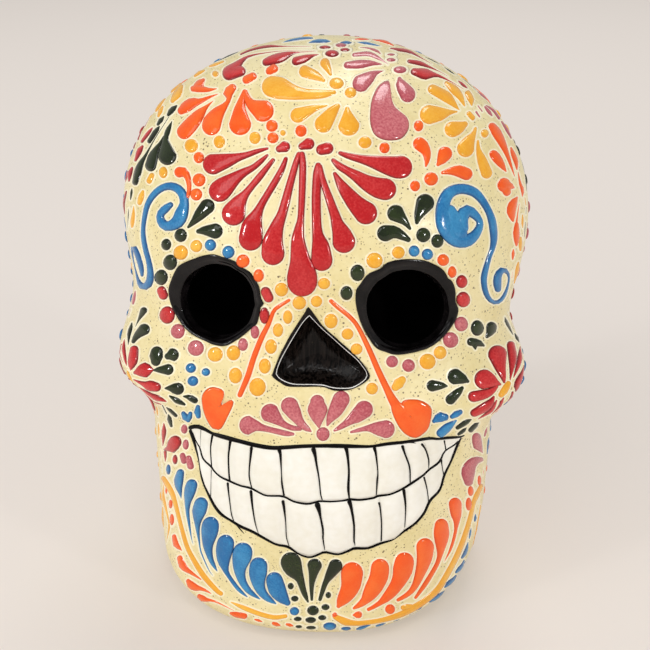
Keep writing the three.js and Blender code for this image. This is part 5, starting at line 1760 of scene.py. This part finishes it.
def make_nose_line():
    """The thin pale line inside the nose's black border."""
    knots = [(x, y, random.uniform(0.75, 1.1)) for x, y in NOSE_LINE]
    line = Slip()
    for left, centre, right in photo.places(stroke_rows(knots + knots[:1], photo.gap)):
        for column in DOT_COLUMNS:
            lift = 0.42 - 0.3 * abs(column)
            line.put(centre.lerp(left if column < 0 else right, abs(column)), lift, 1, 0)
    line.add_grid(len(line.points) // len(DOT_COLUMNS), len(DOT_COLUMNS))
    line.finish("nose_pale_line", PALE, "white_glaze")


def make_cups():
    for word, eye in EYES.items():
        rings, hole = eye_rings(eye)
        ringed_cup(f"eye_cup_{word}_glaze", rings, (BLACK, EYE_PAINTED_SHADE), RIM_RINGS, f"eye_cup_{word}")
        cut(skin_object, plug(hole, f"eye_hole_{word}"))
    rings, hole = nose_rings()
    ringed_cup("nose_cup_glaze", rings, (NOSE_BLACK,), len(rings), "nose_cup")
    cut(skin_object, plug(hole, "nose_hole"))
    make_nose_line()


def make_shell():
    solid = skin_object.modifiers.new("wall", "SOLIDIFY")
    solid.thickness = WALL * MM
    solid.offset = -1
    apply_modifiers(skin_object)
    bpy.ops.object.select_all(action="DESELECT")
    bpy.ops.mesh.primitive_cylinder_add(
        vertices=72, radius=POUR_HOLE_RADIUS * MM, depth=4 * WALL * MM, location=base_middle() * MM)
    cut(skin_object, bpy.context.object)


make_shell()
make_cups()
skin_object.name = "skull_shell_glaze"
dress(skin_object, CREAM, "cream_glaze", "skull_shell")

# Mouth and teeth: the black lines in pixels of the photograph, across, down and width

MOUTH_TOP = [
    (190.5, 427.5, 4.5), (196, 426.3, 4.5), (201, 427.5, 4.3), (206, 429.8, 3.5), (212, 433.3, 3),
    (217, 435, 4), (227, 437.8, 4.5), (240, 441.3, 4), (256, 445.3, 4.2), (272, 447.8, 4),
    (288, 447.2, 3.8), (304, 446.2, 3.5), (322, 445.8, 3.5), (342, 446, 4), (362, 446.5, 3),
    (372, 446.3, 2.6), (388, 443.8, 3.2), (403, 442.3, 3), (417, 440.2, 3), (430, 438.3, 3),
    (437, 439, 2.6), (445, 438, 3.2), (459, 437, 2.8), (464, 435.6, 1.8),
]
MOUTH_BOTTOM = [
    (190.5, 431, 3.5), (193, 438, 3.5), (195.5, 446, 3), (198, 455, 2.6), (200, 464, 2.5),
    (200.8, 472, 2.5), (202.5, 480, 2.4), (205.5, 488, 2.4), (213, 503, 3.2), (218, 510.5, 3.4),
    (223, 515.5, 3.2), (229, 519.3, 2.6), (241, 526.5, 3.2), (252, 531.3, 3), (264, 538, 2.8),
    (276, 544.3, 2.4), (288, 546.8, 2.8), (299, 554, 2), (310, 557.2, 2.2), (321, 553.3, 2.4),
    (325.5, 552, 2.6), (338, 554.3, 2.2), (349, 550.5, 2.6), (354.5, 548.3, 3), (368, 548, 2.6),
    (380, 543.5, 2.6), (390.5, 540.5, 2), (394.5, 539, 1.4), (405, 530.5, 2.4), (415, 523.5, 2.6),
    (424, 513, 2.8), (430, 500.5, 3), (439.5, 490, 2.8), (444.5, 474.5, 2.8), (450.5, 462, 2.6),
    (456.5, 447, 3.4), (461, 438, 2),
]
BITE = [
    (193, 432.5, 1.4), (196, 441, 1.6), (200, 448, 1.8), (202, 456, 2), (205, 461, 2), (211, 466.3, 2.2),
    (215, 472, 1.8), (221, 477, 2), (228, 480.3, 2.2), (240, 485.5, 2), (251, 488.2, 2.2),
    (262, 494, 1.8), (268, 495.8, 1.8), (283, 496.3, 2), (294, 501.5, 2), (308, 503.8, 2.2),
    (319, 501.2, 2), (331, 501.5, 1.8), (344, 500.5, 1.8), (349, 499.2, 2.4), (360, 499.8, 2.2),
    (373, 498, 2.2), (378, 495.8, 2.4), (390, 494.3, 2), (402, 489, 2.2), (413, 482.2, 2.6),
    (424, 474.5, 2.2), (429, 469.5, 2.4), (439, 462, 2.6), (444.5, 451.5, 2), (454, 445, 2.2),
    (458, 441.5, 2.4),
]
UPPER_LINES = [
    [(201, 430, 1.2), (200.5, 438, 1), (200.3, 447, 0.8)],
    [(212.5, 435.5, 2.4), (211.3, 442, 2), (210.6, 450, 1.6), (211.6, 465.5, 1.6)],
    [(230.3, 441.5, 3), (229.3, 449, 2), (228.5, 457, 1.8), (229, 473, 1.8), (229.8, 480, 2)],
    [(251.5, 448, 3), (250.8, 455, 2.2), (249.3, 470, 1.5), (249.5, 478, 1.6), (251.7, 487.5, 1.3)],
    [(279.3, 450, 3.8), (280.5, 455, 2.6), (281.5, 472.5, 1.2), (282, 483, 1.8), (284, 495, 1.8)],
    [(313.5, 449.5, 4.5), (315.3, 456, 2.8), (316.5, 464, 2), (319, 478, 1.5), (320.7, 494, 1.4),
     (322.2, 499.5, 1.3)],
    [(346, 448, 4), (347.5, 455, 2.6), (348.9, 471, 1.9), (348.3, 488, 2.6), (349.3, 498.5, 1.5)],
    [(374.5, 448.5, 3.2), (376, 455, 2), (377.8, 472, 1.3), (377.2, 480, 1.9), (376.3, 494.5, 1.2)],
    [(402.5, 446.5, 3), (404.5, 453, 2), (409.5, 467, 1.8), (410.2, 482, 1.5)],
    [(422, 444.5, 2.8), (425.5, 449.5, 1.9), (428.7, 460, 1.8), (428.5, 468, 1.2)],
    [(444.3, 441, 2), (445, 445, 1.7), (445.8, 450, 1.8)],
]
LOWER_LINES = [
    [(211.5, 470, 1.2), (211.2, 480, 1), (210.7, 498, 1.4)],
    [(227.8, 483.5, 2.5), (228.5, 491, 1.8), (230.5, 507, 1.5), (231.7, 515, 1.6), (234.3, 522.5, 1.3)],
    [(251, 491.5, 3), (252.7, 508, 1.9), (255.5, 524, 1.5), (258.5, 533.5, 1)],
    [(283, 501.5, 3), (284, 507, 2.6), (285.7, 522, 1.4), (286.5, 537, 1.4), (289.3, 546.5, 1.2)],
    [(317.5, 505, 5.5), (319, 510, 4), (320.5, 517, 2.2), (323, 530, 2.2), (322.9, 538, 1.8),
     (324.8, 549.5, 1.2)],
    [(349.5, 502, 4.5), (351.5, 509, 2.8), (354, 525, 2.2), (354, 540, 1.9), (355, 545, 1.2)],
    [(379, 503, 2.2), (380.2, 508.5, 1.7), (381.5, 524, 1.6), (381.2, 540.5, 1.7)],
    [(403.8, 490.5, 3.4), (405.6, 507, 1.8), (404.7, 527, 1.2)],
    [(424, 477.5, 2), (427, 489, 1.5), (428.5, 501, 1.5)],
    [(441.2, 460, 2.4), (442, 466, 1.4), (443.8, 475.5, 1.6)],
]
UPPER_CORNERS = [(190.5, 427.5, 1), (193, 432.5, 1)], [(463, 436, 1), (458.5, 441, 1)]
LOWER_CORNERS = [(191.5, 432, 1), (193, 438, 1)], [(457, 442.5, 1), (457.5, 445, 1)]
LINE_SPURS = [
    [(403, 442.5, 2), (410, 442, 2), (416.5, 443.5, 1)],
    [(236, 524, 1.6), (240, 529, 1.6), (244, 533.5, 1)], [(404, 530, 1.6), (407.5, 531.3, 1)],
]
TOOTH_PILLOW = 0.55
TOOTH_FLAT = 0.5
TOOTH_ROUND = 2.4
TOOTH_LIFT = 0.05
TOOTH_THICKNESS = 1.2


def down_on(edge, x):
    """How far down an edge of the mouth lies at a place across it."""
    for (x0, y0, _), (x1, y1, _) in zip(edge, edge[1:]):
        if x <= x1:
            return lerp(y0, y1, max(x - x0, 0) / (x1 - x0))
    return edge[-1][1]


def across_on(line, share):
    """How far across a line between two teeth lies at a share of its length down."""
    down = lerp(line[0][1], line[-1][1], share)
    for (x0, y0, _), (x1, y1, _) in zip(line, line[1:]):
        if down <= y1:
            return lerp(x0, x1, (down - y0) / (y1 - y0))
    return line[-1][0]


def tooth_piece(name, left, right, top, bottom, *nodes):
    """One tooth, a grid laid over the skin between two drawn lines, pillowed and given thickness."""
    bpy.ops.object.select_all(action="DESELECT")
    bpy.ops.mesh.primitive_grid_add(x_subdivisions=12, y_subdivisions=16, size=2)
    piece = bpy.context.object
    piece.name = name
    for vertex in piece.data.vertices:
        u, v = (vertex.co.x + 1) / 2, (1 - vertex.co.y) / 2
        x_left, x_right = across_on(left, v), across_on(right, v)
        x = lerp(x_left, x_right, u)
        high, low = down_on(top, x), down_on(bottom, x)
        place, normal = surface.nearest(surface.under_pixel((x, lerp(high, low, v))))
        sides = min(u, 1 - u) * (x_right - x_left) * PHOTO_PIXEL
        ends = min(v, 1 - v) * (low - high) * PHOTO_PIXEL
        pillow = smooth((sides - TOOTH_FLAT) / TOOTH_ROUND) * smooth((ends - TOOTH_FLAT) / TOOTH_ROUND)
        vertex.co = place + normal * (TOOTH_LIFT + TOOTH_PILLOW * pillow) * MM
    solid = piece.modifiers.new("thickness", "SOLIDIFY")
    solid.thickness = TOOTH_THICKNESS * MM
    solid.offset = -1
    apply_modifiers(piece)
    bpy.ops.object.shade_smooth()
    dress(piece, WHITE, "white_glaze", *nodes)


def tooth_nodes(row, index, middle):
    """The CAD tooth that a drawn tooth stands for, counted outwards from the middle line."""
    word, place = ("left", middle - index) if index < middle else ("right", index - middle + 1)
    names = [f"{row}_tooth_{word}_{place:02d}"]
    if row == "lower" and word == "left" and place == 5:
        names.append("lower_tooth_left_06")
    return names


def make_teeth():
    for row, corners, inner, top, bottom, middle in (
            ("upper", UPPER_CORNERS, UPPER_LINES, MOUTH_TOP, BITE, 6),
            ("lower", LOWER_CORNERS, LOWER_LINES, BITE, MOUTH_BOTTOM, 5)):
        lines = [corners[0], *inner, corners[1]]
        for i, (left, right) in enumerate(zip(lines, lines[1:])):
            nodes = tooth_nodes(row, i, middle)
            tooth_piece(f"{nodes[0]}_glaze", left, right, top, bottom, *nodes)


def make_mouth_lines():
    """Black lines drawn round the mouth and between the teeth."""
    lines = Slip()
    for knots in [MOUTH_TOP, MOUTH_BOTTOM, BITE, *UPPER_LINES, *LOWER_LINES, *LINE_SPURS]:
        lay(lines, photo, knots, DOT_COLUMNS, haloed=False, most=0.8)
    lines.finish("mouth_lines", LINE, "black_glaze")


make_teeth()
make_mouth_lines()

# Camera, floor and light

SENSOR_WIDTH = 36
camera = bpy.data.cameras.new("camera")
camera.sensor_width = SENSOR_WIDTH
camera.lens = SENSOR_WIDTH * PHOTO_FOCAL / PHOTO_SIZE
camera_object = bpy.data.objects.new("camera", camera)
camera_object.location = camera_place
camera_object.rotation_euler = camera_turn.to_euler()
bpy.context.scene.collection.objects.link(camera_object)
bpy.context.scene.camera = camera_object

PAPER = colour(234, 226, 219)
PAPER_LIT = 0.62
FLOOR_SIZE = 12
LIGHT_AIM = Vector((0, 0, 0.1))
LAMP_DISTANCE = 2.6
SKY_LEVEL = 0.42

# Lamps: bearing and elevation in degrees, width in metres, and level on a facing white surface
LAMPS = {
    "left_window": (-54, 11, 0.26, 0.24),
    "left_sky": (-40, 42, 1.8, 0.29),
    "right_window": (55, 10, 0.24, 0.26),
    "ceiling": (14, 58, 0.4, 0.09),
    "back_sky": (170, 58, 1, 0.26),
}


def make_floor():
    bpy.ops.object.select_all(action="DESELECT")
    bpy.ops.mesh.primitive_plane_add(size=FLOOR_SIZE)
    floor = bpy.context.object
    floor.name = "floor"
    material, tree, shader = new_material("floor_paper", 0.9)
    seen = tree.nodes.new("ShaderNodeLightPath").outputs["Is Camera Ray"]
    lit = tuple(PAPER_LIT * v for v in PAPER[:3]) + (1,)
    own = tuple((1 - PAPER_LIT) * v for v in PAPER[:3]) + (1,)
    tree.links.new(mix_colour(tree, seen, PAPER, lit), shader.inputs["Base Color"])
    tree.links.new(mix_colour(tree, seen, (0, 0, 0, 1), own), shader.inputs["Emission Color"])
    shader.inputs["Emission Strength"].default_value = 1
    shader.inputs["Specular IOR Level"].default_value = 0
    floor.data.materials.append(material)


def area_light(name, bearing, elevation, size, level):
    way = way_to(math.radians(bearing), math.radians(elevation))
    lamp = bpy.data.lights.new(name, "AREA")
    lamp.size = size
    lamp.energy = level * (math.pi * LAMP_DISTANCE) ** 2
    lamp_object = bpy.data.objects.new(name, lamp)
    lamp_object.location = LIGHT_AIM + way * LAMP_DISTANCE
    lamp_object.rotation_euler = way.to_track_quat("Z", "Y").to_euler()
    bpy.context.scene.collection.objects.link(lamp_object)


def make_world(level):
    world = bpy.data.worlds.new("studio")
    world.use_nodes = True
    tree = world.node_tree
    background = tree.nodes["Background"]
    light_path = tree.nodes.new("ShaderNodeLightPath")
    warm = (level, level * 0.985, level * 0.97, 1)
    tint = mix_colour(tree, light_path.outputs["Is Camera Ray"], warm, PAPER)
    tree.links.new(tint, background.inputs["Color"])
    bpy.context.scene.world = world


make_floor()
for lamp_name, placing in LAMPS.items():
    area_light(lamp_name, *placing)
make_world(SKY_LEVEL)
bpy.context.scene.view_settings.view_transform = "Standard"
